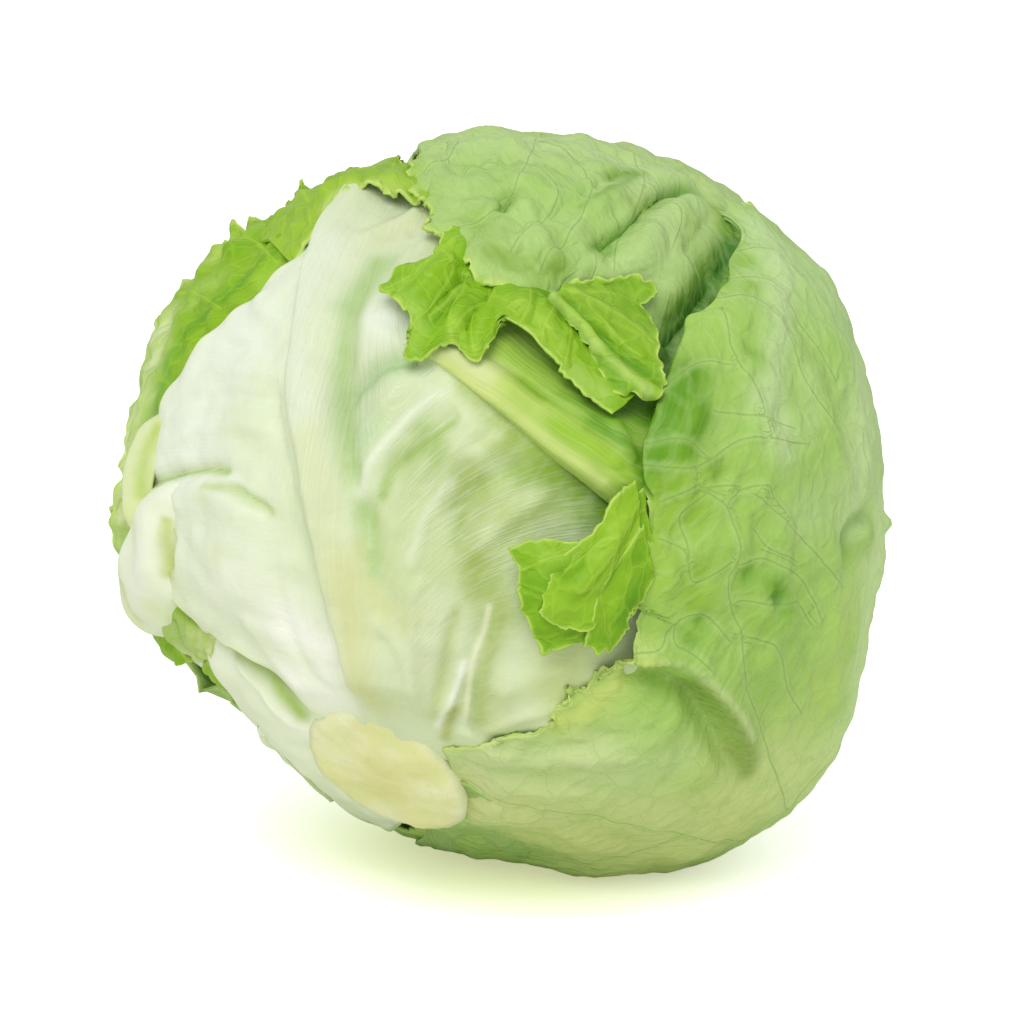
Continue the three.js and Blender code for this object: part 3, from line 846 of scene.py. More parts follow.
# The outer leaf that wraps the right side and the bottom.
rightLeaf = greenSheet | {
    "name": "rightLeaf", "node": "right_leaf", "seed": 21,
    "grid": (222, 214), "crowd": (0.0, 0.1), "spacing": [0, 0.05, 0.44, 0.74, 1],
    "curves": [
        [[10, 79, -3.4], [15.5, 81.5, -5.2], [20.5, 79, -5.3], [26, 83.5, -5.3], [29, 82, -5.2],
         [30, 77.5, -5.2], [33.5, 78, -5.1], [34.5, 73.5, -5], [36.5, 79, -4.8], [39.5, 75.5, -4.4],
         [43.5, 77, -3.8], [46, 74.5, -3.2], [48, 73, -2.8], [49, 71, -2.6], [51, 70, -2.4], [50, 67.5, -2.2],
         [52, 66.5, -2.2], [54, 65.5, -2.1], [56, 63.5, -2], [60, 60.5, -2], [63.5, 57.5, -2.6],
         [65, 55.5, -4], [69, 54, -6.5], [71.5, 53.5, -7.5], [74.5, 53, -8.2], [78.5, 52.5, -8.8],
         [82.5, 52.5, -9], [86.5, 52.5, -9], [91, 52.5, -9], [94.5, 52.5, -9], [96, 53.5, -9],
         [98.5, 54.5, -9], [102, 55, -9], [105.5, 56, -8.6], [110.5, 56, -7.5], [116.5, 57, -6],
         [120.5, 57, -5], [123, 53, -4.6], [124, 49, -4.6], [124.6, 46.5, -4.8]],
        [[10, 80, -3.4], [15.5, 82.5, -4.7], [20.5, 80, -4.8], [26, 84.5, -4.8], [29, 83, -4.7],
         [30, 78.5, -4.7], [33.5, 79, -4.6], [34.5, 74.5, -4.4], [36.5, 80, -4.2], [39.5, 76.5, -3.8],
         [43.5, 78, -3.2], [46, 75.5, -2.5], [48, 74, -2.1], [49, 72, -1.9], [51, 71, -1.7], [50, 68.5, -1.6],
         [52, 67.5, -1.5], [54, 66.5, -1.4], [56, 64.5, -1.3], [60, 61.5, -1.2], [63.5, 58.5, -1.2],
         [65, 55.5, -1.2], [69, 52.5, -1.2], [71.5, 52, -1.2], [74.5, 51.5, -1.1], [78.5, 51, -1.1],
         [82.5, 51, -1], [86.5, 51, -1], [91, 51, -1], [94.5, 50.5, -1], [96, 52, -1], [98.5, 53, -1],
         [102, 53.5, -1], [105.5, 54.5, -1], [110.5, 54, -1], [116.5, 55, -1], [119.5, 54.5, -1.2],
         [121, 52.5, -1.6], [121.8, 49, -2.2], [122.3, 46.5, -2.8]],
        [[10, 104, -3], [25, 102, -2.4], [45, 96, -1], [62, 90], [80, 86], [100, 82], [120, 76],
         [135, 60, -2.2]],
        [[10, 142, -2.4], [30, 137, -1], [55, 128], [80, 122], [105, 116], [125, 104], [137, 78, -2.4]],
        [[10, 186, -2.4], [34, 200, -4.5], [56, 218, -4.5], [80, 210], [102, 190], [122, 168],
         [137, 130, -2.4]],
    ],
    "margins": ["left", "right", "tip"],
    "still": [([[68, 53], [82, 51], [98, 53], [112, 55], [122, 50], [130, 42]], 8)],
    "ridges": [
        # the rounded lip on the cleft
        ([[66, 57], [75, 54], [88, 53.5], [96, 54.5], [105, 57], [117, 58]], 1.6, (3, 6)),
        # the broad pale band that runs down from the top
        ([[122, 58], [112, 62], [99, 63], [92, 64], [83, 69], [79, 74]], 1.1, (3.4, 5)),
        # the pleat: a raised edge with a hollow under it
        ([[43, 74], [45, 78], [48, 81], [51, 86], [52, 91], [53, 98], [55, 108], [57, 116]], 3.6, (4.5, 0.8),
         (0.05, 0.25)),
        ([[42, 78], [46, 84], [49.5, 92], [51, 102], [53.5, 113], [56, 120]], -4.2, (1.4, 3.4), (0.1, 0.2)),
        # folds of the lower blade that gather at the stem
        ([[15, 83], [27, 96], [39, 102], [48, 112]], 0.9, (1.6, 3)),
        ([[33, 97], [43, 98], [49, 92]], 0.9, 2.6),
        ([[48, 97], [45, 106], [40, 113]], -1.0, 2.6),
        ([[13, 110], [26, 114], [40, 124], [50, 138]], 0.9, 3.6),
        ([[13, 96], [24, 104], [36, 112]], -0.7, 2.0),
        ([[13, 132], [30, 138], [50, 150]], 0.8, 4),
        ([[20, 92], [30, 94], [40, 92]], -0.5, 1.6),
        # the slit on the far right
        ([[98, 99], [92, 96], [88, 94.5], [85, 95], [83, 99]], -2.2, (1.4, 2.4), (0.2, 0.2)),
        ([[94, 98], [88, 98]], 1.2, 2.2),
        ([[103, 109.5]], 2.0, 2.0),
        # long soft folds round the right side
        ([[83, 87], [78, 99], [74, 113], [72, 123]], 1.3, 3.4),
        ([[75, 84], [71, 93], [70, 105], [70, 118]], -1.0, 2.6),
        ([[82, 103], [78, 116], [74, 128]], 1.0, 3.2),
        ([[66, 96], [63, 106], [64, 118]], 0.9, 3.2),
        ([[108, 66], [100, 76], [96, 90]], -0.8, 3),
        ([[104, 72], [96, 80], [90, 90]], 0.8, 3),
        ([[113, 74], [106, 84], [98, 96]], 0.7, 3),
        # puffed cells between the veins, and dents
        ([[62, 70]], 1.4, 4), ([[56, 70]], 1.3, 4), ([[75, 57]], 1.2, 4), ([[67, 61]], 1.0, 3.4),
        ([[74, 80]], 1.3, 4.5), ([[68, 74]], 1.2, 4), ([[65, 86]], 1.2, 4), ([[60, 79]], 1.2, 3.5),
        ([[55, 84]], 1.2, 4), ([[57, 92]], 1.2, 4), ([[52, 75]], 1.1, 3), ([[79, 66]], 0.9, 4),
        ([[86, 60]], 0.8, 4.5), ([[68, 92]], 1.0, 3.5), ([[62, 96]], 1.0, 4),
        ([[53, 82]], -1.3, 1.8), ([[56, 80.5]], -1.1, 1.5), ([[68, 85], [68, 89]], -1.8, 2.0),
        ([[66, 80]], -1.3, 1.8), ([[73, 66]], -1.3, 1.8), ([[93, 60.5]], -0.9, 1.6),
        ([[111, 56]], -0.9, 2.0), ([[104, 57]], -0.7, 1.4),
    ],
    "veins": [
        [[66.5, 53.5], [71, 61], [79, 65], [82.5, 69], [88, 76]],
        [[70, 53], [73, 57], [73.5, 62]],
        [[71, 61], [69.5, 64], [70, 69], [68.5, 72], [66.5, 76], [65, 77], [63, 78], [61, 82], [60, 88],
         [58, 92], [57, 98], [58, 106], [59, 114], [61, 121], [68, 138]],
        [[64.5, 60], [70, 63.5]],
        [[69.5, 64], [74, 70], [76.5, 82], [77.5, 87], [80, 98]],
        [[80, 59.5], [84, 65.5], [88, 72.5]],
        [[96.5, 54.5], [89.5, 59.5], [88, 63.5], [82.5, 69]],
        [[78, 50.5], [85.5, 54], [88.5, 58.5]],
        [[99.5, 53.5], [103, 59], [101.5, 64.5], [98.5, 69.5], [96.5, 73], [95, 82]],
        [[106, 55], [109.5, 60], [108.5, 64.5], [106.5, 68.5], [104, 78]],
        [[114, 55], [117, 60], [116, 66]],
        [[65, 77], [69, 80], [71, 84], [73, 88], [74, 93], [74, 99]],
        [[46, 76], [49, 78], [53, 77], [57, 80], [58, 87]],
        [[53, 77], [51, 80], [52, 83], [53, 88]],
        [[61, 82], [63, 83], [67, 88], [71, 92], [72, 98]],
        [[60, 70], [59, 74], [65, 76]],
        [[60, 64], [61, 68], [60, 70], [62, 68], [64, 64], [66, 64], [69, 65]],
        [[71, 69], [74, 70], [77, 73], [77, 76], [77, 80]],
        [[71, 76], [71, 80], [74, 86]],
        [[60, 88], [62, 91], [64, 95], [64, 103], [66, 112]],
        [[13, 120], [30, 124], [48, 132], [62, 142], [80, 150], [100, 152], [118, 144]],
        [[48, 132], [44, 146], [42, 160]], [[62, 142], [60, 156], [60, 172]],
        [[80, 150], [84, 164], [92, 176]],
        [[80, 150], [84, 138], [90, 128]], [[62, 142], [70, 132], [78, 128]],
    ],
    "veinSink": 0.3,
    "bumps": [(24, 0.4, 23), (9, 0.2, 24), (4.6, 0.1, 25)],
    "creases": [(13, 0.12, 26)],
    "waves": [(13, 0.5, 5)],
    "teeth": [(4.5, 0.35, 2.0), (2.2, 0.2, 1.3)],
    "colour": "A3CB5E",
    "lines": 0.35,
    "lined": [([[16, 96], [26, 104], [36, 108], [46, 100], [52, 92]], 17, 1.0)],
    "dabs": [
        # the far side and the top, with painted light on the far right, which the lamp leaves in shade, and
        # the yellower lower blade
        ([[40, 150], [60, 160], [80, 170]], 30, "C4DA88", 0.9),
        ([[108, 98], [92, 110], [76, 132]], 20, "D6F0A6", 0.92),
        ([[78, 104], [70, 114]], 8, "BAD86C", 0.8), ([[92, 94], [88, 92]], 5, "CCE698", 0.7),
        ([[104, 92], [96, 96]], 6, "D4F09E", 0.9),
        ([[118, 60], [120, 76], [112, 96]], 18, "BCDC90", 0.85),
        ([[56, 122], [56, 136], [48, 146]], 14, "D2DE8C", 0.95), ([[58, 120], [70, 130]], 8, "D8E898", 0.9),
        ([[14, 120], [26, 124], [40, 130]], 19, "D2DA96", 0.95),
        ([[36, 140], [28, 150]], 12, "D0D88C", 0.9),
        ([[14, 90], [14, 120], [14, 150], [14, 180]], 8, "DEDFA2", 0.97),
        ([[13, 88], [22, 93], [34, 100]], 9, "CBDA9C", 0.95),
        ([[30, 83], [38, 82], [43, 80], [47, 77]], 4.0, "D0E07C", 0.92),
        ([[38, 109], [44, 106]], 5, "C8DC98", 0.8),
        # the pleat: painted shade in the hollow under its edge and a painted highlight along its crest
        ([[50, 91], [53, 99], [55, 108], [56, 118]], 2.6, "86A244", 0.85),
        ([[47.5, 80], [50.5, 85], [52.3, 91], [54, 98], [56, 108]], 1.0, "D3E2A0", 0.8),
        # pale band and cells
        ([[122, 58], [112, 62], [99, 64], [92, 66], [84, 72]], 4.8, "C8E2A2", 0.85),
        ([[87, 65]], 4.4, "C4DEA0", 0.8),
        ([[104, 96], [92, 90], [80, 82]], 7, "BBD78C", 0.8),
        ([[79, 61]], 2.6, "B0D078", 0.7),
        ([[68, 60], [62, 62], [57, 65], [53, 70]], 4.6, "A6CC4A", 0.9),
        ([[60, 70], [62, 76]], 4, "98C24A", 0.7), ([[63, 85], [61, 90]], 4, "98C248", 0.7),
        ([[52, 72], [50, 78], [54, 84]], 5, "A0C85A", 0.7),
        ([[62, 82], [58, 90]], 6, "9CC25C", 0.7),
        # saturated patches
        ([[83, 53.5], [77, 53.2], [72.5, 53.5], [67, 56]], 4.8, "5C9600", 0.99),
        ([[78, 57.5], [72, 58]], 3.4, "649C00", 0.95),
        ([[69, 63], [66, 65]], 3.6, "8CB828", 0.9), ([[57, 77], [60, 72]], 3.4, "92BA34", 0.8),
        ([[73, 64]], 2.4, "7CAA22", 0.9),
        ([[65, 57.5], [66, 59]], 3, "86B02A", 0.8),
        ([[68, 85], [68, 89]], 2.8, "62A00C", 0.95),
        ([[66, 80]], 2.6, "70A62A", 0.9),
        ([[53, 82]], 2.6, "78A82C", 0.9), ([[56, 80.5]], 2.2, "7CAC30", 0.85),
        ([[112, 56.5]], 2.2, "8AB63C", 0.8), ([[105, 57.5]], 2.0, "88B63C", 0.8),
        ([[92.5, 61]], 2.4, "80B038", 0.85),
        # painted shade in the slit on the far right
        ([[93, 100], [90, 98], [86, 97]], 3.6, "86B424", 0.9),
        ([[92, 96], [88, 94.5], [85, 95.5]], 1.6, "609818", 0.9),
        ([[116, 55], [110, 54.5], [103, 54]], 1.6, "8DB548", 0.6),
        ([[112, 86], [102, 88], [95, 91], [89, 95]], 6, "CEE4A4", 0.6),
        ([[98, 72], [90, 75], [83, 68]], 4, "C6E09A", 0.5),
    ],
    "rim": ("DCEA8A", 1.0, 0.6),
}

# The dull, crumpled leaf over the top.
topLeaf = greenSheet | {
    "name": "topLeaf", "node": "top_leaf", "seed": 31, "depth": 2, "grid": (186, 220), "crowd": (0.2, 0.0),
    "spacing": [0, 0.2, 0.42, 0.58, 0.7, 0.8, 0.88, 0.95, 1],
    "curves": [
        [[121, -7, -2.6], [113, -2.5, -0.8], [107, -1, 0], [103, 0, 0.3], [100, 2, 0.4], [98, 4, 0.3],
         [98.5, 5.5, 0], [97, 6, 0], [94, 8, 0], [91, 8], [90, 11], [88.5, 14], [86, 16], [83, 19],
         [82.5, 21], [83, 23], [82.5, 26], [84, 29], [85, 30], [87, 30.5, -0.6], [89, 33, -1], [91, 36, -1.6],
         [92, 40, -2], [91, 43.5, -3], [88, 46.5, -5], [84, 50, -8], [82, 55, -9.5]],
        [[128, -16, -3], [117, 0, -0.6], [108, 5, 0], [103, 10], [99, 16], [96, 22], [95, 27], [97, 32],
         [101, 37], [103, 42], [101.5, 46.5, -0.8], [98.5, 50, -4.5], [96.5, 53, -8], [95, 57, -9.5]],
        [[138, -36, -3.2], [130, -6, -1], [122, 8], [116, 20], [113, 30], [112, 38], [112, 46],
         [111, 50.5, -1.4], [109.5, 53.5, -5.5], [108, 57, -8.5]],
        [[149, -66, -3.1], [160, -30, -2], [152, 24, -1], [140, 40], [130, 46, -0.4], [123, 53, -0.9],
         [114, 64, -3.2]],
        [[143, -110, -3.1], [153, -150, -2], [147, 140, -1.5], [132, 100, -1.6], [122, 84, -2],
         [113, 76, -2.6]],
        [[116, -134, -3.1], [124, -168, -2], [124, 160, -1.5], [118, 124, -2], [108, 92, -2.6]],
        [[84, -146, -3.1], [86, 176, -2], [86, 150, -2], [88, 112, -2.6]],
        [[50, -156, -3.1], [50, 180, -2], [50, 150, -2], [50, 121, -2.6]],
        [[10, -174], [10, 160], [10, 124]],
    ],
    "margins": ["left"],
    "ridges": [
        # the deep valley beside the cleft
        ([[119, 53.5], [114, 54], [110, 53.5], [103, 52.5], [97, 51.5], [90, 50.5]], -3.0, (2.4, 6),
         (0.22, 0.02)),
        # the long flat panel left of it, with a dark slit at its left
        ([[122, 45], [114, 43], [106, 41], [98, 39], [92, 38]], 2.6, (4.2, 4.2), (0.12, 0.1)),
        ([[123, 42], [115, 38.5], [107, 36.5], [101.5, 34.5], [97, 32.5]], -2.6, (3.4, 1.1), (0.1, 0.15)),
        ([[121, 33], [112, 29.5], [104, 26.5], [99, 25]], -0.9, (2.4, 1.5), (0.15, 0.15)),
        ([[116, 34], [108, 31.5], [101, 30], [95, 29]], 1.0, (2.4, 1.8), (0.15, 0.1)),
        ([[120, 49], [112, 47], [104, 45.5]], -0.6, 1.4),
        ([[101, 20], [97, 23], [93, 26], [90, 30]], 1.8, (1.4, 2.6), (0.15, 0.1)),
        ([[99, 16], [103, 18], [97, 18]], -1.8, 1.5, (0.05, 0.05)),
        ([[104, 20], [100, 17], [96, 15]], 0.9, 1.4),
        ([[92, 16], [96, 18], [99, 24]], -0.8, 1.8),
        ([[112, 8], [107, 13], [102, 17]], -0.9, 1.8),
        ([[120, 10], [114, 16], [108, 22]], 0.8, 2.4),
        ([[110, -2], [105, 6], [100, 12]], 0.8, 1.8),
        ([[128, 26], [120, 24], [112, 24]], -0.8, 2.0),
        ([[89, 20], [92, 24], [93, 29]], 0.9, 1.8),
        ([[86, 22], [88, 26], [88, 29]], -0.7, 1.3),
        ([[117, 40], [121, 42], [123, 44]], -2.2, 2.0, (0.05, 0.05)),
    ],
    "veins": [
        [[136, 10], [124, 14], [112, 17], [103, 18], [96, 16], [91, 12]],
        [[124, 14], [117, 24], [109, 29], [98, 29], [88, 27]],
        [[112, 17], [106, 24], [98, 24], [90, 22]],
        [[136, 24], [128, 32], [117, 36], [105, 36], [96, 37]],
        [[117, 36], [113, 43], [106, 44]],
        [[118, 2], [112, 4], [105, 2], [100, -2]],
        [[112, 17], [110, 10], [105, 8]],
        [[150, -150], [126, -172], [100, 176], [70, 172], [40, 168], [14, 160]],
        [[100, 176], [96, 150], [90, 130]], [[100, 176], [102, -160]], [[70, 172], [68, 150]],
        [[70, 172], [72, -166]],
    ],
    "veinSink": 0.3,
    "bumps": [(22, 0.5, 33), (9, 0.28, 34), (4.5, 0.08, 37)],
    "creases": [(15, 0.5, 35), (7, 0.16, 36)],
    "waves": [(12, 0.7, 6), (5, 0.35, 3.5)],
    "teeth": [(6, 0.35, 2.6), (2.6, 0.2, 1.4)],
    "lines": 0.5,
    "lined": [([[118, 44], [106, 41], [98, 38]], 6, 1.0)],
    "colour": "B0CE7C",
    "dabs": [
        # own tones, with painted shade: the darker greens in the dark slit, the deep valley beside the cleft
        # and the dents
        ([[120, 6], [122, 20], [123, 34]], 14, "BCD88C", 0.95),
        ([[108, 10], [106, 20], [106, 28]], 8, "A4CC68", 0.7),
        ([[97, 24], [94, 30]], 6, "AED27A", 0.7), ([[95, 15], [92, 17]], 3.4, "96BC54", 0.8),
        ([[106, 0], [101, 2], [98, 5]], 2.6, "A8CC4C", 0.85),
        ([[91, 10], [88, 14], [84, 19], [84, 26], [88, 30]], 2.2, "B4D672", 0.7),
        ([[120, 45], [113, 44], [105, 42.5], [97, 40]], 5.4, "B6D488", 0.85),
        ([[123, 42], [115, 38.5], [107, 36.5], [101.5, 34.5], [97, 32.5]], 1.2, "568E22", 0.85),
        ([[121, 35], [111, 32], [104, 29]], 1.0, "74A83C", 0.7),
        ([[119, 33], [115.5, 30.5]], 2.2, "6E9C26", 0.9),
        ([[122, 50], [119, 52]], 2.2, "86A634", 0.8),
        ([[122, 52], [118, 53], [113, 51.5], [108, 50.5], [102, 49.5], [96, 49]], 2.0, "76A02E", 0.8),
        ([[117, 55], [111, 54.5], [104.5, 53], [99, 51.8], [94.5, 51], [89, 51], [84, 51]], 3.8, "2E6E14",
         0.97),
        ([[99, 33.5]], 3.4, "88B44C", 0.85), ([[88, 20], [88, 26], [90, 29]], 3.4, "88AE3E", 0.85),
        ([[95, 28]], 3, "9ABE58", 0.7), ([[113, 46]], 2.6, "9AB858", 0.7),
        ([[110, 35], [114, 39]], 2.2, "98B85A", 0.7),
        ([[99, 17], [102, 18]], 1.8, "6F9F38", 0.8),
        ([[120, 42], [123, 44]], 2.6, "5A9022", 0.85),
    ],
    "rim": ("CCE66C", 1.1, 0.8),
}

# The small bright leaf low in front.
smallLeaf = brightLobe | {
    "name": "smallLeaf", "node": "small_leaf", "seed": 41, "grid": (78, 90),
    "curves": [
        [[64, 56, -2.6], [59, 55.5, -2], [56, 55, -1.4], [53, 53, -0.9], [51, 48.5, -0.6], [49, 44, -0.6],
         [46.5, 41, -1.2]],
        [[62, 58, -2.4], [56, 58, -1.4], [53, 57, -0.8], [49, 52, 0.2], [47, 49, 0.3], [45, 44, -0.4]],
        [[60, 61, -2.4], [53, 61, -1.2], [50, 60, -1.0], [45, 56, -0.6], [43, 52, -0.2], [41, 47, -0.6]],
        [[58, 64, -2.4], [50, 66, -1.6], [47, 65, -1.4], [42, 61, -1.2], [40, 57, -0.9], [38, 54, -0.8]],
        [[57, 67, -2.4], [48, 69, -1.8], [45, 70, -1.6], [43, 68, -1.4], [41, 65, -1.5], [39, 63, -1.6],
         [36, 60, -1.6]],
    ],
    "ridges": [
        ([[58, 58], [51, 54], [46, 46]], 0.8, 1.5),
        ([[52, 60], [47, 56], [43, 50]], -0.7, 1.2),
        ([[50, 64], [45, 60], [41, 56]], 0.6, 1.3),
    ],
    "veins": [[[62, 58], [53, 54], [47, 47], [45, 45]], [[53, 54], [50, 50]], [[56, 62], [48, 60], [42, 55]],
              [[54, 66], [46, 66], [40, 62]]],
    "bumps": [(6, 0.2, 43)],
    "waves": [(8, 0.5, 4)],
    "colour": "7CB01C",
    "dabs": [
        ([[52, 52], [48, 47]], 4, "9CC93E", 0.7),
        ([[45, 60], [40, 58]], 4, "78AC1C", 0.7),
        ([[46, 66], [42, 66]], 3, "6C9F16", 0.7),
    ],
    "rim": ("B8DC4C", 0.7, 0.5),
}

# The lighter fold over it.
smallFold = brightLobe | {
    "name": "smallFold", "node": "small_leaf", "seed": 45, "grid": (70, 90),
    "curves": [
        [[64, 54, -1.4], [60, 52, 0.2], [56, 52.5, 0.8], [53, 51.5, 1.0], [49, 50, 0.8], [45, 50.5, 0.6],
         [41, 53, 0.3]],
        [[62, 56, -1.4], [54, 56.5, 1.4], [47, 55.5, 1.8], [44.5, 54.5, 1.4], [41, 53, 0.4]],
        [[59, 59, -1.4], [51, 59, 0.8], [47, 60, 1.0], [44, 63.5, 0.9], [42, 61, 0.9], [41, 58, 0.7],
         [41, 53.3, 0.4]],
    ],
    "margins": ["left", "right"],
    "ridges": [([[58, 56], [50, 56], [44, 55]], 0.6, 1.2), ([[56, 54.5], [50, 53]], -0.6, 1.0)],
    "veins": [[[62, 56], [54, 56.5], [47, 56]], [[54, 56.5], [50, 59], [46, 61]],
              [[56, 56], [52, 53.5], [48, 52]]],
    "bumps": [(6, 0.15, 47)],
    "colour": "92C02A",
    "dabs": [
        # a painted highlight along its raised fold and painted shade in the groove beside it
        ([[58, 55], [52, 55.5]], 1.6, "A4CC3C", 0.6), ([[51, 52], [48, 52]], 2, "74AA14", 0.8),
        ([[50, 60], [45, 62]], 2.2, "84B82A", 0.7),
    ],
    "rim": ("C4E45E", 0.7, 0.5),
}

# The flap below the fold.
smallFlap = brightLobe | {
    "name": "smallFlap", "node": "small_leaf", "seed": 48, "grid": (50, 60),
    "curves": [
        [[60, 59, -1.2], [53, 59, 0.3], [48, 59.5, 0.8], [44, 62.5, 0.7], [41, 65, 0.2]],
        [[57, 63, -1.4], [51, 64, 0.5], [46, 65, 0.6], [42, 69, -0.2]],
        [[55, 67, -1.6], [49, 68, -0.4], [46, 70, -0.6], [43, 71, -1.0]],
    ],
    "bumps": [(5, 0.25, 49)],
    "colour": "7AAE1A",
    "dabs": [([[52, 62], [46, 64]], 2.0, "94C22C", 0.6), ([[51, 65], [48, 67]], 2.2, "5E9A10", 0.85)],
    "rim": ("B8DC4C", 0.7, 0.5),
}

# The leaf behind the left edge, whose ruffled margin stands out along the upper left.
leftLeaf = brightSheet | {
    "name": "leftLeaf", "node": "left_leaf", "seed": 51, "grid": (74, 176),
    "spacing": [0, 0.22, 0.48, 0.74, 1],
    "curves": [
        [[55, -79, -8.5], [60, -72, -7], [62, -67, -6], [64, -61, -5.6], [67, -55, -5.4], [70, -52, -5.4],
         [75, -51, -5.4], [81, -49, -5.4], [85, -48, -5.4], [87, -46, -5], [92, -48, -5.6], [95, -47, -5.6],
         [97, -44, -5.6], [99, -43, -5.6], [101, -41, -5.6], [104, -38, -5.6], [102, -31, -5.6],
         [103, -27, -5.6], [111, -28, -5.6], [113, -26, -5.4], [117, -25, -5.6], [119, -22, -5.6],
         [121, -19, -5.6], [122, -16, -5.6], [119, -12, -5.6], [114, -7, -5.6], [108, -2, -6]],
        [[54, -74, -9.5], [60, -66, -8], [63, -61, -7], [67, -53, -6.4], [73, -48, -6.2], [80, -45, -6],
         [85, -43, -5.8], [90, -41, -5.2], [96, -37, -5.2], [99, -32, -5.4], [102, -26, -5.4],
         [107, -22, -5.2], [113, -20, -5.0], [116, -14, -5.2], [112, -8, -6], [106, -2, -7]],
        [[54, -68, -10], [60, -60, -9], [66, -51, -7.6], [69, -49, -7.2], [73, -46, -7.0], [77, -43, -7.0],
         [81, -40, -7.0], [84, -34, -6.6], [87, -27, -6.4], [91, -21, -6.2], [96, -18, -6.2], [102, -17, -6],
         [107, -14, -6.2], [110, -8, -7], [106, 0, -8.6]],
        [[54, -60, -11], [62, -48, -10], [67, -43, -9.4], [71, -38, -9.2], [75, -34, -9.2], [79, -29, -9.2],
         [83, -21, -8.6], [89, -16, -8], [96, -15, -7.8], [102, -13, -6.4], [106, -9, -7.6], [107, 0, -9.4]],
        [[52, -46, -11], [60, -38, -10.4], [68, -30, -10], [76, -22, -10], [84, -12, -10], [92, -7, -10],
         [100, -4, -10], [106, 4, -10]],
    ],
    "margins": ["left"],
    "still": [([[50, -84], [60, -70], [68, -55], [78, -50], [86, -47]], 16)],
    "ridges": [
        ([[103, -27], [99, -23], [96, -20]], -1.2, 1.6),
        ([[87, -46], [88, -38], [88, -30]], -0.8, 1.4),
        ([[110, -28], [106, -22], [103, -18]], 0.9, 1.5),
        ([[101, -41], [96, -33], [92, -25]], 0.9, 1.6),
        ([[118, -22], [113, -16], [109, -11]], 0.9, 1.6),
        ([[94, -46], [92, -36]], -0.7, 1.2),
    ],
    "veins": [[[90, -20], [97, -28], [102, -38]], [[97, -28], [98, -36], [97, -43]],
              [[98, -17], [106, -22], [112, -26]],
              [[104, -13], [112, -16], [119, -20]], [[84, -30], [90, -38], [93, -46]],
              [[106, -22], [108, -18], [113, -16]]],
    "bumps": [(8, 0.35, 53), (4.2, 0.14, 54)],
    "creases": [(9, 0.3, 55)],
    "waves": [(13, 1.5, 9), (6, 0.8, 5)],
    "teeth": [(6, 0.3, 3)],
    "colour": "8EBC20",
    "dabs": [
        # the dark green line along the front leaf's margin is painted shade
        ([[66, -50], [74, -44], [80, -40], [84, -33], [88, -25], [94, -20]], 1.8, "62A012", 0.85),
        ([[60, -66], [66, -56], [72, -50], [80, -46], [87, -44]], 4.6, "DCE8AC", 0.95),
        ([[60, -64], [57, -72]], 2.6, "A2CA34", 0.8),
        ([[92, -44], [98, -38], [104, -30]], 3.0, "AACC48", 0.8),
        ([[95, -46], [96, -40]], 2.4, "C0DC78", 0.8),
        ([[107, -18], [100, -28], [96, -36]], 2.0, "BCD86C", 0.8),
        ([[86, -22], [92, -17], [98, -15]], 2.4, "A4D040", 0.9),
        ([[106, -24], [112, -20], [116, -14]], 2.6, "A8CC50", 0.8),
        ([[103, -18], [108, -14]], 2.6, "6DA41C", 0.7),
        ([[88, -38], [90, -32]], 2.2, "BBDB70", 0.7),
    ],
    "rim": ("CEE872", 0.9, 0.85),
}

# The leaf low on the left, below the front leaf.
lowLeftLeaf = paleSheet | {
    "name": "lowLeftLeaf", "node": "low_left_leaf", "depth": 9, "grid": (72, 84),
    "curves": [
        [[10, -176, -2.8], [38, -170, -2.8], [58, -156, -2.8], [76, -140, -2.8], [94, -128, -2.8],
         [112, -118, -2.8]],
        [[10, -116], [40, -112], [62, -106, -2], [86, -100, -2.8], [108, -94, -2.8], [128, -86, -2.8]],
        [[10, -74], [30, -76], [44, -78], [60, -80, -1], [78, -80, -2.8], [98, -76, -2.8], [116, -68, -2.8],
         [130, -54, -2.8]],
        [[10, -36], [30, -38], [44, -42], [58, -48], [76, -54, -1], [92, -54, -2], [106, -48, -2.8],
         [118, -38, -2.8], [124, -26, -2.8]],
    ],
    "ridges": [
        ([[13, -60], [24, -64], [36, -66], [44, -70]], 0.9, 2.4),
        ([[13, -74], [26, -82], [38, -92]], -0.8, 2.0),
        ([[34, -56], [28, -60], [20, -62]], -1.0, 1.6),
        ([[37, -90]], 2.4, 9), ([[22, -170]], 1.6, 8),
    ],
    "bumps": [(14, 0.4, 63)],
    "colour": "E2ECC6",
    "dabs": [
        # the darker green under the lying edge above is painted shade
        ([[38, -54], [31, -51], [25, -54], [18, -51]], 2.4, "A9CC5C", 0.75),
        ([[40, -76], [30, -74], [20, -70]], 7, "EBF2D8", 0.8),
        ([[40, -130], [34, -110]], 14, "CBDD98", 0.7),
    ],
}

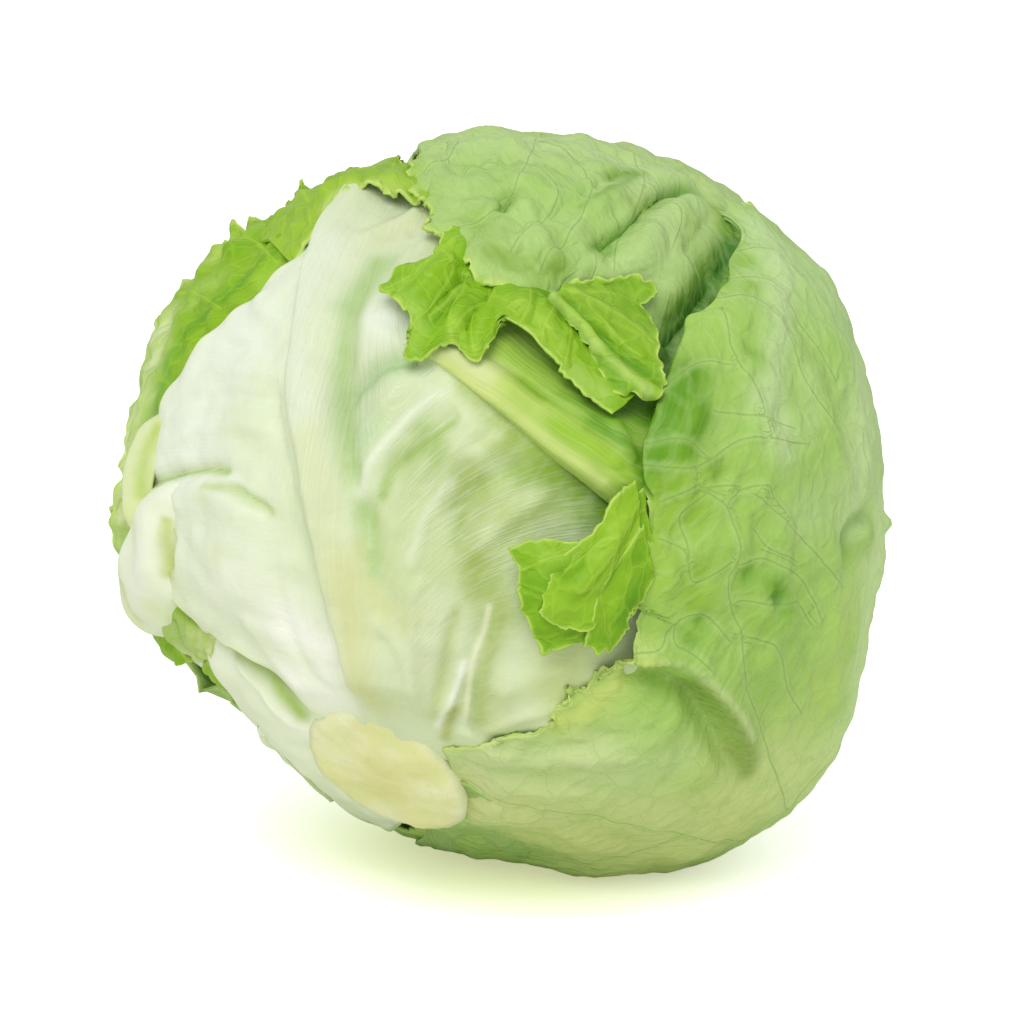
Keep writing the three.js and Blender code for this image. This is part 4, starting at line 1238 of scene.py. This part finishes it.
# A narrow leaf edge that lies over it.
lowEdge = paleSheet | {
    "name": "lowEdge", "node": "low_left_leaf", "grid": (52, 110),
    "curves": [
        [[9, -168, -6], [20, -160, -5], [34, -154, -3.4], [41, -145, -2.6], [40, -136, -2.4],
         [34, -124, -2.2], [29, -112, -2.4], [29, -98, -3], [30, -87, -3.6], [31, -76, -4.4], [34, -66, -5.4],
         [37.5, -60, -7.6]],
        [[9, -130, -6], [17, -122, -4.4], [25, -116, -2.6], [30, -112, -2.2], [29, -104, -2.2],
         [26, -92, -2.8], [25.5, -82, -3.6], [27, -72, -4.6], [30, -64, -5.6], [34, -57, -6.8],
         [36.5, -55, -8]],
        [[9, -90, -6], [13, -82, -4.8], [16, -74, -4.4], [19.5, -67, -4.8], [24, -59, -5.4], [29, -53, -6.2],
         [32.5, -50, -7.8]],
        [[9, -40, -7], [14, -43, -7.4], [19, -47, -8], [25, -47, -8.4], [30, -46, -8.8]],
    ],
    "margins": ["left"],
    "ridges": [
        ([[12, -70], [18, -64], [24, -56], [31, -53]], 0.9, (1.6, 0.7), (0.02, 0.1)),
        ([[13, -92], [20, -84], [28, -72]], -0.5, 1.8),
        ([[20, -112], [28, -104]], 0.5, 2.4),
    ],
    "bumps": [(11, 0.25, 66)],
    "lines": 0.08,
    "colour": "F4FAE2",
    "dabs": [
        ([[12, -76], [15, -68], [17, -60]], 3.4, "FFFFF2", 0.9),
        # the yellow-green wedge is painted shade from the pale lobe above
        ([[33, -51.5], [29, -49.5], [25, -48.5], [20, -51], [16, -56]], 2.5, "A8C656", 0.93),
        ([[28, -66], [26, -80], [26, -96]], 3.4, "F0F6DA", 0.8),
        ([[36, -146], [32, -130], [29, -112]], 5, "EAF3D0", 0.8),
    ],
    "rim": ("CFE09A", 0.8, 0.6),
}

# The frill above the front leaf's upper end.
topFrill = brightSheet | {
    "name": "topFrill", "node": "left_leaf", "seed": 57, "grid": (44, 110),
    "curves": [
        [[87, -15, -6.8], [90, -14.5, -6.2], [95, -11.8, -5], [98.6, -9.4, -2.6], [100.6, -6, -1.4],
         [99.4, -1, -2.6], [98.4, 3, -3], [97.6, 6.5, -3.6]],
        [[90, -17.5, -6.4], [96, -16.5, -5.2], [101, -14, -2.8], [103.5, -9.5, -1.2], [103.4, -4, -1.0],
         [101.6, 1, -2], [100, 6, -3]],
        [[94, -22, -6], [101, -22, -5.2], [106, -18, -4.4], [108.5, -12, -3.4], [108, -5, -3.2],
         [104.5, 2, -3.2], [102, 6, -4]],
        [[96, -26, -7], [105, -27, -6.4], [112, -22, -5.8], [115, -13, -5.2], [112, -4, -4.8],
         [107, 4, -4.6]],
    ],
    "margins": ["left"],
    "ridges": [
        ([[112, -18], [105, -15], [99, -12]], 0.8, 1.4), ([[112, -10], [105, -8], [101, -7]], -0.8, 1.3),
        ([[110, -3], [104, -2], [100, -1]], 0.7, 1.3),
    ],
    "veins": [[[112, -14], [106, -12], [101, -10]], [[110, -6], [105, -4], [101, -3]],
              [[104, -20], [99, -16], [95, -14]]],
    "bumps": [(6, 0.3, 58)],
    "waves": [(7, 0.6, 4), (3.6, 0.3, 3)],
    "colour": "9CC236",
    "dabs": [
        ([[98, -12], [101, -7], [99.5, 0]], 1.8, "C2DC74", 0.8),
        ([[104, -14], [106, -6]], 2, "84AE1C", 0.7),
    ],
    "rim": ("D6E88C", 0.8, 0.6),
}

# Short frills that look out between the leaves on the lower left.
frillBits = [
    brightLobe | {
        "name": name, "node": "left_leaf", "seed": seed, "grid": (40, 40), "curves": curves, "ridges": ridges,
        "bumps": [(6, 0.2, seed)], "waves": [(8, 0.35, 4)], "teeth": [], "colour": colour, "dabs": dabs,
        "rim": (rim, 0.8, 0.5),
    }
    for name, seed, colour, rim, curves, ridges, dabs in [
        ("lowFrill", 121, "90C016", "B4DC44", [
            [[51, -72, -9.4], [54, -80, -8], [55, -83.5, -7.4]],
            [[47.5, -70, -9.4], [51, -80, -7.6], [51.5, -88, -6.8]],
            [[43.5, -68, -9.4], [46.5, -77, -7.8], [46.5, -83.5, -6.8]],
            [[41, -66, -9.4], [42.5, -73, -8], [41.8, -77.5, -7.2]],
        ], [([[46, -70], [51, -84]], 0.5, 1.4)], [([[44, -70], [49, -78]], 2, "7CAA14", 0.7)]),
        ("midFrill", 123, "98C420", "B4DC44", [
            [[35, -60, -8.8], [36.2, -66, -7.8], [36.8, -69.5, -7.2]],
            [[33, -62, -8.8], [36, -71, -7.4], [38.2, -78, -6.6]],
            [[32, -66, -8.8], [35, -77, -7.2], [38, -85, -6.4]],
            [[31.5, -70, -8.8], [33, -78, -7.6], [34.6, -82, -6.8]],
        ], [([[34, -66], [36.5, -80]], 0.5, 1.2)], [([[35, -72]], 1.6, "7CAA14", 0.7)]),
        ("paleFrill", 125, "D2DE98", "E6EEBC", [
            [[46.5, -54, -9], [46, -62, -7.6], [46, -68, -7], [45, -72.5, -7.4]],
            [[43.5, -52, -8.8], [43, -60, -6.6], [42.6, -67, -6], [42, -73, -6.8]],
            [[40, -51, -8.6], [40, -58.5, -6.4], [38.8, -64, -5.8], [38.5, -71, -6.8]],
            [[34.8, -50, -8.8], [34.4, -57, -7], [34, -62, -7], [34.4, -67, -7.8]],
        ], [([[45, -60], [42, -71]], 0.9, 1.0), ([[42.5, -60], [40, -66], [37, -68]], -0.9, 0.9),
            ([[39, -56], [37, -64]], 0.9, 1.1)],
         # the darker greens in its pocket and along its fold are painted shade
         [([[45, -58], [42, -57], [39, -55]], 2.0, "98BC16", 0.97),
          ([[42.5, -61], [40, -66], [37.5, -68]], 0.7, "A4BC48", 0.8),
          ([[44, -66], [43, -71]], 1.6, "C4D47C", 0.7)]),
    ]
]

# The leaf on the far left and the back.
backLeaf = greenSheet | {
    "name": "backLeaf", "node": "back_leaf", "seed": 71, "depth": 6.2, "grid": (88, 96), "crowd": (0.2, 0.1),
    "curves": [
        [[10, 182], [40, 178], [70, 174], [100, 174], [126, 180], [150, 204]],
        [[10, 214], [45, 226], [75, 236], [104, 246], [132, 262], [152, 290]],
        [[10, 234], [30, 237], [44, 245], [58, 260], [70, 276, -0.5], [82, 294, -1], [94, 307, -1.4],
         [108, 320, -1.6], [119, 336, -1.6], [117, 352, -1.8]],
    ],
    "margins": ["right", "tip"],
    "ribRise": (2.5, 0.1),
    "veins": [
        [[40, 226], [60, 214], [80, 206]], [[60, 231], [80, 218], [100, 210]],
        [[80, 238], [100, 226], [118, 220]],
        [[40, 227], [56, 242], [70, 256]], [[60, 231], [76, 248], [90, 264]],
        [[80, 238], [96, 256], [108, 276]],
    ],
    "veinSink": 0.4,
    "bumps": [(22, 0.8, 73), (8, 0.3, 74), (4.6, 0.12, 75)],
    "waves": [(13, 1.0, 7), (6, 0.4, 4)],
    "teeth": [(6, 0.6, 3)],
    "colour": "AFD27C",
    "dabs": [([[14, 222], [40, 227], [70, 235], [100, 245]], 6, "DCE8B4", 0.9),
             ([[14, 222]], 16, "D6E2A8", 0.8)],
    "rim": ("D2E69A", 1.0, 0.6),
}

# The inner leaf whose rolled side shows between the front leaf and the cleft.
curledLeaf = foldSheet | {
    "name": "curledLeaf", "node": "curled_leaf", "grid": (68, 100),
    "curves": [
        [[71.5, 13.5, -6.4], [68.5, 20.5, -6.4], [66, 27.5, -6.6], [64, 33.5, -6.8], [62, 40.5, -6.8],
         [61, 48, -6.8], [60.5, 55, -6.8], [62, 64, -7]],
        [[71.4, 13.3, -4.6], [68.5, 20.4, -4.2], [65.9, 27.4, -4.0], [64, 33.5, -4.0], [62.3, 40.5, -4.0],
         [61.4, 48, -4.2], [61, 54, -4.6], [62, 62, -6]],
        [[72.2, 13.7, -3.8], [69.6, 20.8, -2.8], [67.2, 27.8, -2.4], [65.4, 33.8, -2.3], [64, 40.3, -2.3],
         [63.2, 48, -2.6], [62.8, 53, -3.0], [63.8, 62, -6]],
        [[73, 14, -3.8], [70.9, 21.2, -2.6], [68.6, 28.3, -2.0], [67, 34.2, -1.9], [65.8, 41, -1.9],
         [65.2, 48, -2.2], [65, 52, -2.8], [66.4, 60, -6]],
        [[74, 14.5, -4.4], [72, 22, -3.6], [70.2, 29.2, -3.2], [68.6, 36, -3.0], [67.8, 42, -3.0],
         [67.6, 48, -3.2], [67.8, 52, -3.6], [69.4, 59, -6.5]],
        [[76, 15, -5.6], [73.8, 23, -4.8], [72.4, 30, -4.4], [71.2, 37, -4.4], [71, 43, -4.8],
         [71.2, 48, -5.2], [71.8, 52, -5.4], [73.6, 59, -8.5]],
        [[80, 16, -7.2], [77, 24, -6.2], [75, 31, -6], [74.4, 37, -6.2], [74.4, 43, -7.2], [74.8, 48, -8.2],
         [75.6, 52, -8.4], [77.4, 60, -10]],
        [[86, 18, -9], [84, 26, -8.4], [82, 33, -8.2], [80, 39, -8.8], [79.6, 44, -10], [80, 49, -10.2],
         [81, 53, -10.4], [83, 61, -11]],
    ],
    "ridges": [
        ([[73, 20], [70.4, 30], [68, 40], [66.6, 50]], -0.5, 1.2),
        ([[66, 53], [69, 49], [72, 46]], 1.0, 1.4),
        ([[64, 50], [66, 50], [69, 51]], 0.7, 1.4),
    ],
    "bumps": [(12, 0.2, 83)],
    "colour": "AECD60",
    "dabs": [
        # cream at its upper end going to green; a painted highlight along the rolled edge, and deeper greens
        # towards the cavity that are partly own colour and partly painted shade
        ([[73, 14], [70.5, 19], [68.5, 26]], 3.8, "DCE4A6", 0.95),
        ([[68.4, 29], [67, 34.5]], 2.6, "BED666", 0.9),
        ([[65.6, 39], [64.8, 47], [64.2, 54]], 2.6, "9CC830", 0.9),
        ([[69.8, 31], [68.4, 38], [68, 46]], 1.8, "86B82A", 0.9),
        ([[69.6, 17.5], [66.6, 26.6], [64.6, 33.8], [63, 41], [62, 50]], 1.1, "DCEA90", 0.85),
        ([[67.6, 36], [67, 42]], 1.0, "BCDC64", 0.6), ([[69, 44], [68.4, 49], [67, 54]], 2.0, "5E9A20", 0.85),
        ([[71, 38], [71, 44], [71, 50]], 2.0, "78B02A", 0.95),
        ([[68, 53], [65, 56]], 2.0, "78AE28", 0.9),
        ([[76, 22], [74, 30], [73, 38]], 4, "A8D24C", 0.9), ([[73.4, 43], [74, 52]], 2.4, "6CA822", 0.97),
        ([[78, 40], [77, 46], [78, 54]], 4.5, "64A41C", 0.97),
        ([[84, 24], [81, 34]], 5, "88C032", 0.9),
    ],
}

# The left lobe of the bright ruffle that curls out from under the top leaf's margin.
ruffle = brightLobe | {
    "name": "brightRuffle", "node": "heart_leaf_01", "seed": 91, "grid": (84, 150), "crowd": (0.1, 0.0),
    "curves": [
        [[92, 12, -2.4], [89, 11.5, -0.9], [87, 12, -0.5], [83, 10, -0.4], [82, 7.5, -0.5], [78, 6, -0.6],
         [77, 8, -0.4], [75, 11, -0.7], [72.5, 12, -1.5], [70, 11.5, -2.5], [68, 13, -3.1],
         [68.5, 14.5, -2.5], [69.5, 16.5, -1.3], [71, 18, -0.6], [71.5, 19.5, -0.7], [70.8, 21, -1.1],
         [69.8, 22.5, -0.9], [70.2, 24, -0.5], [73, 24.5, -0.7], [77, 25, -1.7]],
        [[92, 13, -2.7], [88, 13.5, -0.5], [84, 12, 0], [80, 10.5, 0], [78, 12, -0.2], [75.5, 14, -0.7],
         [73.5, 15.5, -1.7], [73, 17.5, -0.7], [73.5, 19.5, -0.5], [73, 21.5, -0.8], [73.5, 23, -0.5],
         [77, 25, -1.7]],
        [[91.5, 14, -3.1], [88, 15, -1.1], [85, 15, -0.4], [82, 14, 0], [80, 15, -0.3], [78, 17, -1.7],
         [77.5, 19, -0.7], [77.5, 21, -0.7], [77.5, 23, -0.9], [79, 25, -1.9]],
        [[91, 14.5, -3.5], [89, 16, -3.5], [86.5, 17, -3.3], [85, 18, -3.1], [83.5, 20, -3.3], [83, 22, -3.3],
         [82.5, 24, -3.3], [83, 26, -3.5]],
        [[92, 16, -4.9], [90, 18, -4.9], [88, 20, -4.9], [86.5, 22, -4.9], [86, 24, -4.9], [86, 26, -4.9],
         [86, 28, -4.9]],
    ],
    "margins": ["left"],
    "ridges": [
        ([[86, 15], [80, 12.5], [76, 10]], 1.1, 1.3),
        ([[84, 17.5], [79, 15], [74, 13]], -1.3, 1.3),
        ([[82, 20], [77, 18.5], [72.5, 18.5]], 0.9, 1.2),
        ([[82, 22], [77, 20.5], [72.5, 20.5]], -0.9, 1.0),
        ([[88, 14], [85, 11], [82.5, 8.5]], -0.7, 1.2),
        ([[82, 24], [78, 22.5], [73, 22.5]], 0.7, 1.1),
    ],
    "veins": [
        [[91, 14], [86, 13], [81, 10], [78, 7]], [[86, 13], [83, 15], [78, 14], [73, 12.5]],
        [[88, 17], [82, 17.5], [76, 18], [71, 19]], [[82, 17.5], [78, 16], [75, 14.5]],
        [[86, 22], [80, 21], [75, 21.5], [71, 23]], [[86, 13], [85, 10.5]],
        [[80, 21], [77, 19.5], [74, 18.8]],
    ],
    "bumps": [(6, 0.2, 93)],
    "waves": [(7, 0.6, 4)],
    "colour": "86BA1A",
    "dabs": [
        # the darker greens in its folds and deep inner part are painted shade
        ([[88, 13], [84, 11], [80, 9]], 3, "98C83C", 0.7),
        ([[77, 9], [75, 12], [71, 13]], 2.4, "B4D85C", 0.75),
        ([[83, 17], [79, 16], [75, 15]], 2.2, "5E9612", 0.8),
        ([[86, 20], [84, 23]], 3, "5A9410", 0.7),
        ([[74, 19], [71.5, 20], [71, 23]], 2.2, "A4CE42", 0.75),
        ([[79, 20], [76, 20]], 2, "6CA218", 0.7),
    ],
    "rim": ("C4E45E", 0.7, 0.5),
}

# The middle lobe of the ruffle.
ruffleMiddle = brightLobe | {
    "name": "ruffleMiddle", "node": "heart_leaf_01", "seed": 95, "grid": (60, 110), "crowd": (0.1, 0.0),
    "curves": [
        [[70, 23.5, -1.2], [73, 24.3, -0.4], [77, 24.6, 0], [77.2, 27, 0.2], [76.6, 29.5, 0.2],
         [75.6, 32, -0.2], [74.5, 34.5, -0.4], [73.2, 36.5, -0.6], [72.2, 39, -1], [71.6, 42, -1.4],
         [71.2, 46, -2.2]],
        [[76, 22, -1.6], [79, 25, -0.2], [79.5, 27.5, 0.6], [79, 30, 0.6], [78, 32.5, 0.2], [77, 35, 0],
         [75.5, 38, -0.2], [74.5, 42, -0.8], [73.5, 47, -1.8]],
        [[83, 22, -2.4], [83, 25, -1.4], [83, 28, -0.8], [82.5, 31, -1], [81, 34, -1.2], [79, 38, -1.4],
         [77, 43, -1.8], [76, 48, -2.6]],
        [[86, 24, -4], [86, 27, -4], [86, 30, -4], [85, 33, -4], [83, 37, -4], [80, 42, -4], [78, 48, -4.4]],
    ],
    "margins": ["left"],
    "ridges": [
        ([[84, 26], [80, 26.5], [77.5, 26.5]], 0.7, 1.2),
        ([[84, 28], [80, 29], [77, 29]], -0.8, 1.2),
        ([[83, 31], [79, 32], [76, 32]], 0.7, 1.3),
        ([[80, 35], [76, 36.5], [74, 38]], -0.7, 1.2),
    ],
    "veins": [
        [[86, 26], [81, 27.5], [77.5, 27.5]], [[84, 31], [79, 31], [76, 31.5]],
        [[83, 34], [78, 35], [74.5, 36]],
        [[81, 27.5], [79, 25.5]], [[79, 31], [77.5, 33]],
    ],
    "bumps": [(6, 0.2, 96)],
    "colour": "86B622",
    "dabs": [
        # a painted highlight along its raised crest and painted shade towards its sunken inner side
        ([[80, 26], [79, 30], [77, 34]], 2.2, "A6D046", 0.7),
        ([[84, 26], [84, 30], [82, 34]], 2.6, "5F9814", 0.75),
        ([[74, 38], [73, 43]], 2.2, "B4D46A", 0.6),
    ],
    "rim": ("CBE672", 0.7, 0.6),
}

# The folded bright tip beside it.
foldedTip = brightLobe | {
    "name": "foldedTip", "node": "heart_leaf_01", "seed": 101, "grid": (90, 78), "crowd": (0.0, 0.1),
    "curves": [
        [[84, 30, -1.6], [82, 34.5, -0.8], [80, 38.5, -0.6], [77.5, 40.5, -0.8], [75.5, 42.5, -1],
         [74, 45, -1], [75.5, 47, -0.8], [76, 50, -1.4]],
        [[84.5, 30, -0.4], [82.5, 35, 0.8], [80, 40, 1.0], [78, 44, 0.8], [77, 48, 0.4], [77, 51, -0.2]],
        [[85, 30.5, -0.6], [83.5, 36, -0.9], [81, 42, -1.0], [79.5, 47, -1.2], [80, 51, -1]],
        [[85.5, 31, -0.2], [85, 37, 0.6], [84.5, 43, 0.9], [83.5, 48.5, 0.4]],
        [[86, 31, 0], [87.5, 37, 1.0], [89.5, 43, 1.0], [89, 47, 0.4]],
        [[86.5, 31.5, -0.4], [91, 36, -0.6], [93, 40, -0.8], [93, 43.5, -0.4]],
        [[86.5, 32, -0.6], [89, 33, -0.2], [92, 36, 0.2], [96, 40, 0.4], [97, 43, 0.4], [96, 45, 0.2]],
    ],
    "ridges": [
        ([[86, 32], [86.5, 38], [87, 45]], 0.7, 1.3),
        ([[86, 33], [88.5, 40], [90, 46]], -0.5, 1.0),
        ([[84.5, 33], [83.5, 40], [82.5, 46]], 0.5, 1.2),
    ],
    "veins": [
        [[86, 32], [86.5, 38], [86.5, 43], [85, 47]], [[86.5, 38], [89, 42], [90, 45]],
        [[86, 35], [83.5, 41], [82, 46]],
        [[86.5, 34], [90.5, 38], [93, 42]], [[84, 31.5], [81, 38], [78, 43], [76.5, 48]],
    ],
    "bumps": [(6, 0.15, 103)],
    "waves": [(7, 0.35, 4)],
    "colour": "82B222",
    "dabs": [
        # the dark green along the valley of its fold is painted shade
        ([[84, 30.5], [82, 35.5], [79.5, 40], [77.5, 45], [76.5, 49]], 1.3, "CBE08A", 0.9),
        ([[84.5, 32], [82.5, 38], [80.5, 44], [79.5, 49]], 1.5, "5C9818", 0.85),
        ([[86, 33], [86.5, 39], [86, 46]], 3.4, "94BE40", 0.7),
        ([[90, 37], [94, 42]], 2.6, "9ECB4C", 0.7),
        ([[79, 41], [76, 44], [75.5, 47]], 2, "6AA31C", 0.7),
    ],
    "rim": ("CBE672", 0.7, 0.55),
}
for leaf in [
    frontLeaf, rolledEdge, edgeBand, rightLeaf, topLeaf, smallLeaf, smallFold, smallFlap, leftLeaf,
    lowLeftLeaf,
    lowEdge,
    backLeaf, curledLeaf, ruffle, ruffleMiddle, foldedTip, topFrill, *frillBits,
]:
    growLeaf(leaf)

# The crumpled leaves of the heart, one cup inside the other from the outside in.
heart = {
    "leaves": 11, "depth": 16.7, "pitch": 4.1, "firstTurn": 40, "turnStep": 137.5, "grid": (24, 24),
    "seed": 200,
    "stemDistance": 75, "stemRadius": 15.5, "stemTipDistance": 26, "stemTipRadius": 6, "gap": 0.9,
    "stemMargin": 2,
    "halfWidths": [(72, 96), (108, 98), (140, 92), (158, 64)],  # at these tilts, past the stem
    "middleTilts": [55, 95, 132, 166],
    "outerColour": "CFE08C", "innerColour": "EFEFAE",
}
for index in range(heart["leaves"]):
    depth = heart["depth"] + index * heart["pitch"]
    radius = head["radius"] - depth
    turn = heart["firstTurn"] + (index + 1) * heart["turnStep"]
    down = (radius - heart["stemTipDistance"]) / (heart["stemDistance"] - heart["stemTipDistance"])
    stemWide = heart["stemTipRadius"] + np.clip(down, 0, 1) * (heart["stemRadius"] - heart["stemTipRadius"])
    start = np.degrees(np.arcsin((stemWide + heart["gap"]) / radius)) + heart["stemMargin"]
    halfWidths = [(start, 58), (start + 22, 84), *heart["halfWidths"]]
    share = index / (heart["leaves"] - 1)
    seed = heart["seed"] + index
    growLeaf(heartSheet | {
        "name": f"heartLeaf{index + 1:02d}", "node": f"heart_leaf_{index + 1:02d}", "seed": seed,
        "depth": depth, "grid": heart["grid"],
        "curves": [
            [[tilt, turn - wide] for tilt, wide in halfWidths],
            [[tilt, turn] for tilt in [start, *heart["middleTilts"]]],
            [[tilt, turn + wide] for tilt, wide in halfWidths],
        ],
        "margins": ["left", "right", "tip"], "ribRise": (0.8, 0.12),
        "bumps": [(16, 0.5, seed + 20), (7, 0.2, seed + 40)],
        "colour": (1 - share) * tone(heart["outerColour"]) + share * tone(heart["innerColour"]),
        "rim": ("D3E88A", 1.6, 0.6),
    })

# The stem, cut across below the leaves.
stem = {
    "cutRadius": 14.3, "cutDistance": 74.9, "tipRadius": 6, "tipDistance": 26, "sides": 120, "rings": 11,
    "ringStep": 1.25, "rimRounding": 0.7, "rimWidth": 2.6, "dome": 1.7, "rough": 0.35, "fineRough": 0.1,
    "uneven": 0.02, "long": 1.28, "longWay": (-0.53, 0.85), "shift": (-2.8, -4.4),
    "lean": 0.07, "leanFrom": -4,
    "lowest": 0.3,  # how far it stays above the floor
    "flesh": "EEEDAC", "pale": "F6F4CC", "core": "E2DC94", "rim": "ECEFCC", "side": "E6EDC6",
    "fleck": 420, "gloss": 0.42,
}


def stemFinish(look):
    # Cut flesh with a paler rim and a mottled core. "away" is the distance from the middle of the cut in
    # millimetres, and "face" is 1 on the cut and 0 round the sides.
    flesh = Finish(bpy.data.materials.new("stemFlesh"))
    place = flesh.node("TexCoord", output="Object")
    away = flesh.attribute("away")
    blotch = flesh.noise(place, 120, 3)
    fleck = flesh.noise(place, look["fleck"], 4, Roughness=0.7)
    grain = flesh.noise(place, 2200, 2)
    colour = rgba(look["flesh"])
    for over, share in [
        ("pale", blotch.fade(0.42, 0.68) * 0.8),
        ("core", (away + blotch * 5).fade(12, 5) * 0.55),
        ("core", fleck.fade(0.56, 0.74) * 0.5),
        ("rim", (away + blotch * 2.4).fade(13.4, 16.4) * 0.75),
    ]:
        colour = flesh.blend(colour, rgba(look[over]), share)
    colour = flesh.blend(rgba(look["side"]), colour, flesh.attribute("face"))
    rough = fleck.fade(0.3, 0.7) * 0.2 + look["gloss"]
    return flesh.close(flesh.skin(colour, rough, 0.35, blotch * 0.5 + fleck * 0.22 + grain * 0.04))


bpy.ops.object.select_all(action="DESELECT")
bpy.ops.mesh.primitive_cylinder_add(
    vertices=stem["sides"], radius=stem["cutRadius"] * metres,
    depth=(stem["cutDistance"] - stem["tipDistance"]) * metres, end_fill_type="NGON",
)
stump = bpy.context.object
stump.name = stump.data.name = "cutStem"
bpy.ops.object.mode_set(mode="EDIT")
bpy.ops.mesh.select_mode(type="FACE")
bpy.ops.mesh.select_all(action="DESELECT")
bpy.ops.object.mode_set(mode="OBJECT")
for face in stump.data.polygons:
    face.select = face.normal.z > 0.9
bpy.ops.object.mode_set(mode="EDIT")
for _ in range(stem["rings"]):
    bpy.ops.mesh.inset(thickness=stem["ringStep"] * metres, depth=0)
bpy.ops.mesh.poke()
bpy.ops.object.mode_set(mode="OBJECT")

spot = np.array([corner.co for corner in stump.data.vertices]) / metres
top = spot[:, 2] > 0
away = np.linalg.norm(spot[:, :2], axis=1)
paint(stump.data, "away", away)
paint(stump.data, "face", top)
heading = unit(np.c_[spot[:, :2], np.zeros(len(spot))] + 1e-9)
rimmed = np.clip(away - stem["cutRadius"] + stem["rimWidth"], 0, None) / stem["rimWidth"]
rise = -stem["dome"] * (away / stem["cutRadius"]) ** 2 - stem["rimRounding"] * rimmed**2
rise += stem["rough"] * ripple(spot, 9, 301) * (1 - 0.6 * rimmed) + stem["fineRough"] * ripple(spot, 3, 302)
rise -= stem["lean"] * (spot[:, 1] - stem["leanFrom"])
wide = 1 + stem["uneven"] * ripple(heading * 20, 30, 303)
spot[:, :2] *= np.where(top, wide, stem["tipRadius"] / stem["cutRadius"])[:, None]
longWay = np.array(stem["longWay"])
stretch = (stem["long"] - 1) * (spot[:, :2] @ longWay)
spot[:, :2] += top[:, None] * (stretch[:, None] * longWay + stem["shift"])
spot[:, 2] += top * rise + (stem["cutDistance"] + stem["tipDistance"]) / 2
placed = alongStem(spot)
placed[:, 2] = np.maximum(placed[:, 2], stem["lowest"])
stump.data.vertices.foreach_set("co", (placed * metres).reshape(-1))
stump.data.update()
dress(stump, "stem", stemFinish(stem))

# The bud in the middle of the heart.
bud = {"across": 12.4, "along": 14.4, "colour": "EEEFB4", "lines": 0.3}
bpy.ops.object.select_all(action="DESELECT")
bpy.ops.mesh.primitive_ico_sphere_add(subdivisions=5, radius=1)
core = bpy.context.object
core.name = core.data.name = "heartBud"
spot = np.array([corner.co for corner in core.data.vertices])
wrinkled = spot * (1 - 0.05 * np.abs(ripple(spot, 0.7, 311)) - 0.02 * np.abs(ripple(spot, 0.3, 312)))[:, None]
wrinkled = wrinkled * (bud["across"], bud["across"], bud["along"])
placed = alongStem(wrinkled) + stemAxis * head["budOffset"]
core.data.vertices.foreach_set("co", (placed * metres).reshape(-1))
core.data.update()
even = np.ones(len(spot))
paint(core.data, "tint", even[:, None] * rgba(bud["colour"]))
paint(core.data, "flow", wrinkled)
paint(core.data, "edge", even * sheet["edgeReach"])
paint(core.data, "vein", even * sheet["veinReach"])
paint(core.data, "veinSide", even * sheet["veinReach"])
paint(core.data, "lined", even * bud["lines"])
dress(core, "heart_bud", finishes["leafHeart"])

# Camera, light and floor.
shot = {"elevation": 15, "distance": 900, "right": 1.5, "up": -2.57, "lens": 147.7, "sensor": 36}
tiltUp = np.radians(shot["elevation"])
towardCamera = np.array([0, -np.cos(tiltUp), np.sin(tiltUp)])
cameraUp = np.array([0, np.sin(tiltUp), np.cos(tiltUp)])
aim = middle + shot["right"] * np.array([1, 0, 0]) + shot["up"] * cameraUp
bpy.ops.object.camera_add(
    location=(aim + shot["distance"] * towardCamera) * metres, rotation=(np.pi / 2 - tiltUp, 0, 0)
)
camera = bpy.context.object
camera.data.lens = shot["lens"]
camera.data.sensor_width = shot["sensor"]
bpy.context.scene.camera = camera

light = {"sky": 0.8, "key": 8.6, "keyPlace": (-0.2, -0.92, 1.15), "keySize": 0.8}  # places in metres
studio = Finish(bpy.data.worlds.new("studio"))
seen = studio.node("LightPath", output="Is Camera Ray")
bright = studio.node("MapRange", {}, {"Value": seen, "To Min": light["sky"], "To Max": 1.0})
bpy.context.scene.world = studio.close(studio.node("Background", {}, {"Strength": bright}), "OutputWorld")

bpy.ops.object.light_add(type="AREA", location=light["keyPlace"])
key = bpy.context.object
key.data.energy = light["key"]
key.data.size = light["keySize"]
aimed = Vector(middle * metres) - Vector(light["keyPlace"])
key.rotation_euler = aimed.to_track_quat("-Z", "Y").to_euler()
print("camera and light set")

ground = {
    "size": 8, "sunk": 0.0002,  # metres
    # the glow near the head is dimmer and greener: a painted shadow
    "seen": (0.93, 0.93, 0.95, 1), "paintedShadowGlow": (0.49, 0.51, 0.29, 1), "farGlow": (0.62, 0.62, 0.62, 1),
    "near": 0.022, "far": 0.075, "bounce": (0.86, 0.89, 0.78, 1),
}
bpy.ops.object.select_all(action="DESELECT")
bpy.ops.mesh.primitive_plane_add(size=ground["size"], location=(0, 0, -ground["sunk"]))
floor = bpy.context.object
floor.name = floor.data.name = "floor"
# The camera sees a white floor with a painted shadow near the head, a dimmer green-tinted glow, and the head
# gets the light it throws back.
cover = Finish(bpy.data.materials.new("floorPaint"))
spread = cover.node("VectorMath", {"operation": "LENGTH"}, {0: cover.node("TexCoord", output="Object")},
                    "Value")
lit = cover.blend(ground["paintedShadowGlow"], ground["farGlow"], spread.fade(ground["near"], ground["far"]))
glow = cover.node("Emission", {}, {"Color": lit, "Strength": 1.0})
shown = cover.node("AddShader", {}, {0: cover.node("BsdfDiffuse", {}, {"Color": ground["seen"]}), 1: glow})
bounce = cover.node("BsdfDiffuse", {}, {"Color": ground["bounce"]})
rays = cover.node("LightPath", output="Is Camera Ray")
floor.data.materials.append(cover.close(cover.node("MixShader", {}, {0: rays, 1: bounce, 2: shown})))
bpy.context.scene.view_settings.view_transform = "Standard"
print("floor laid")
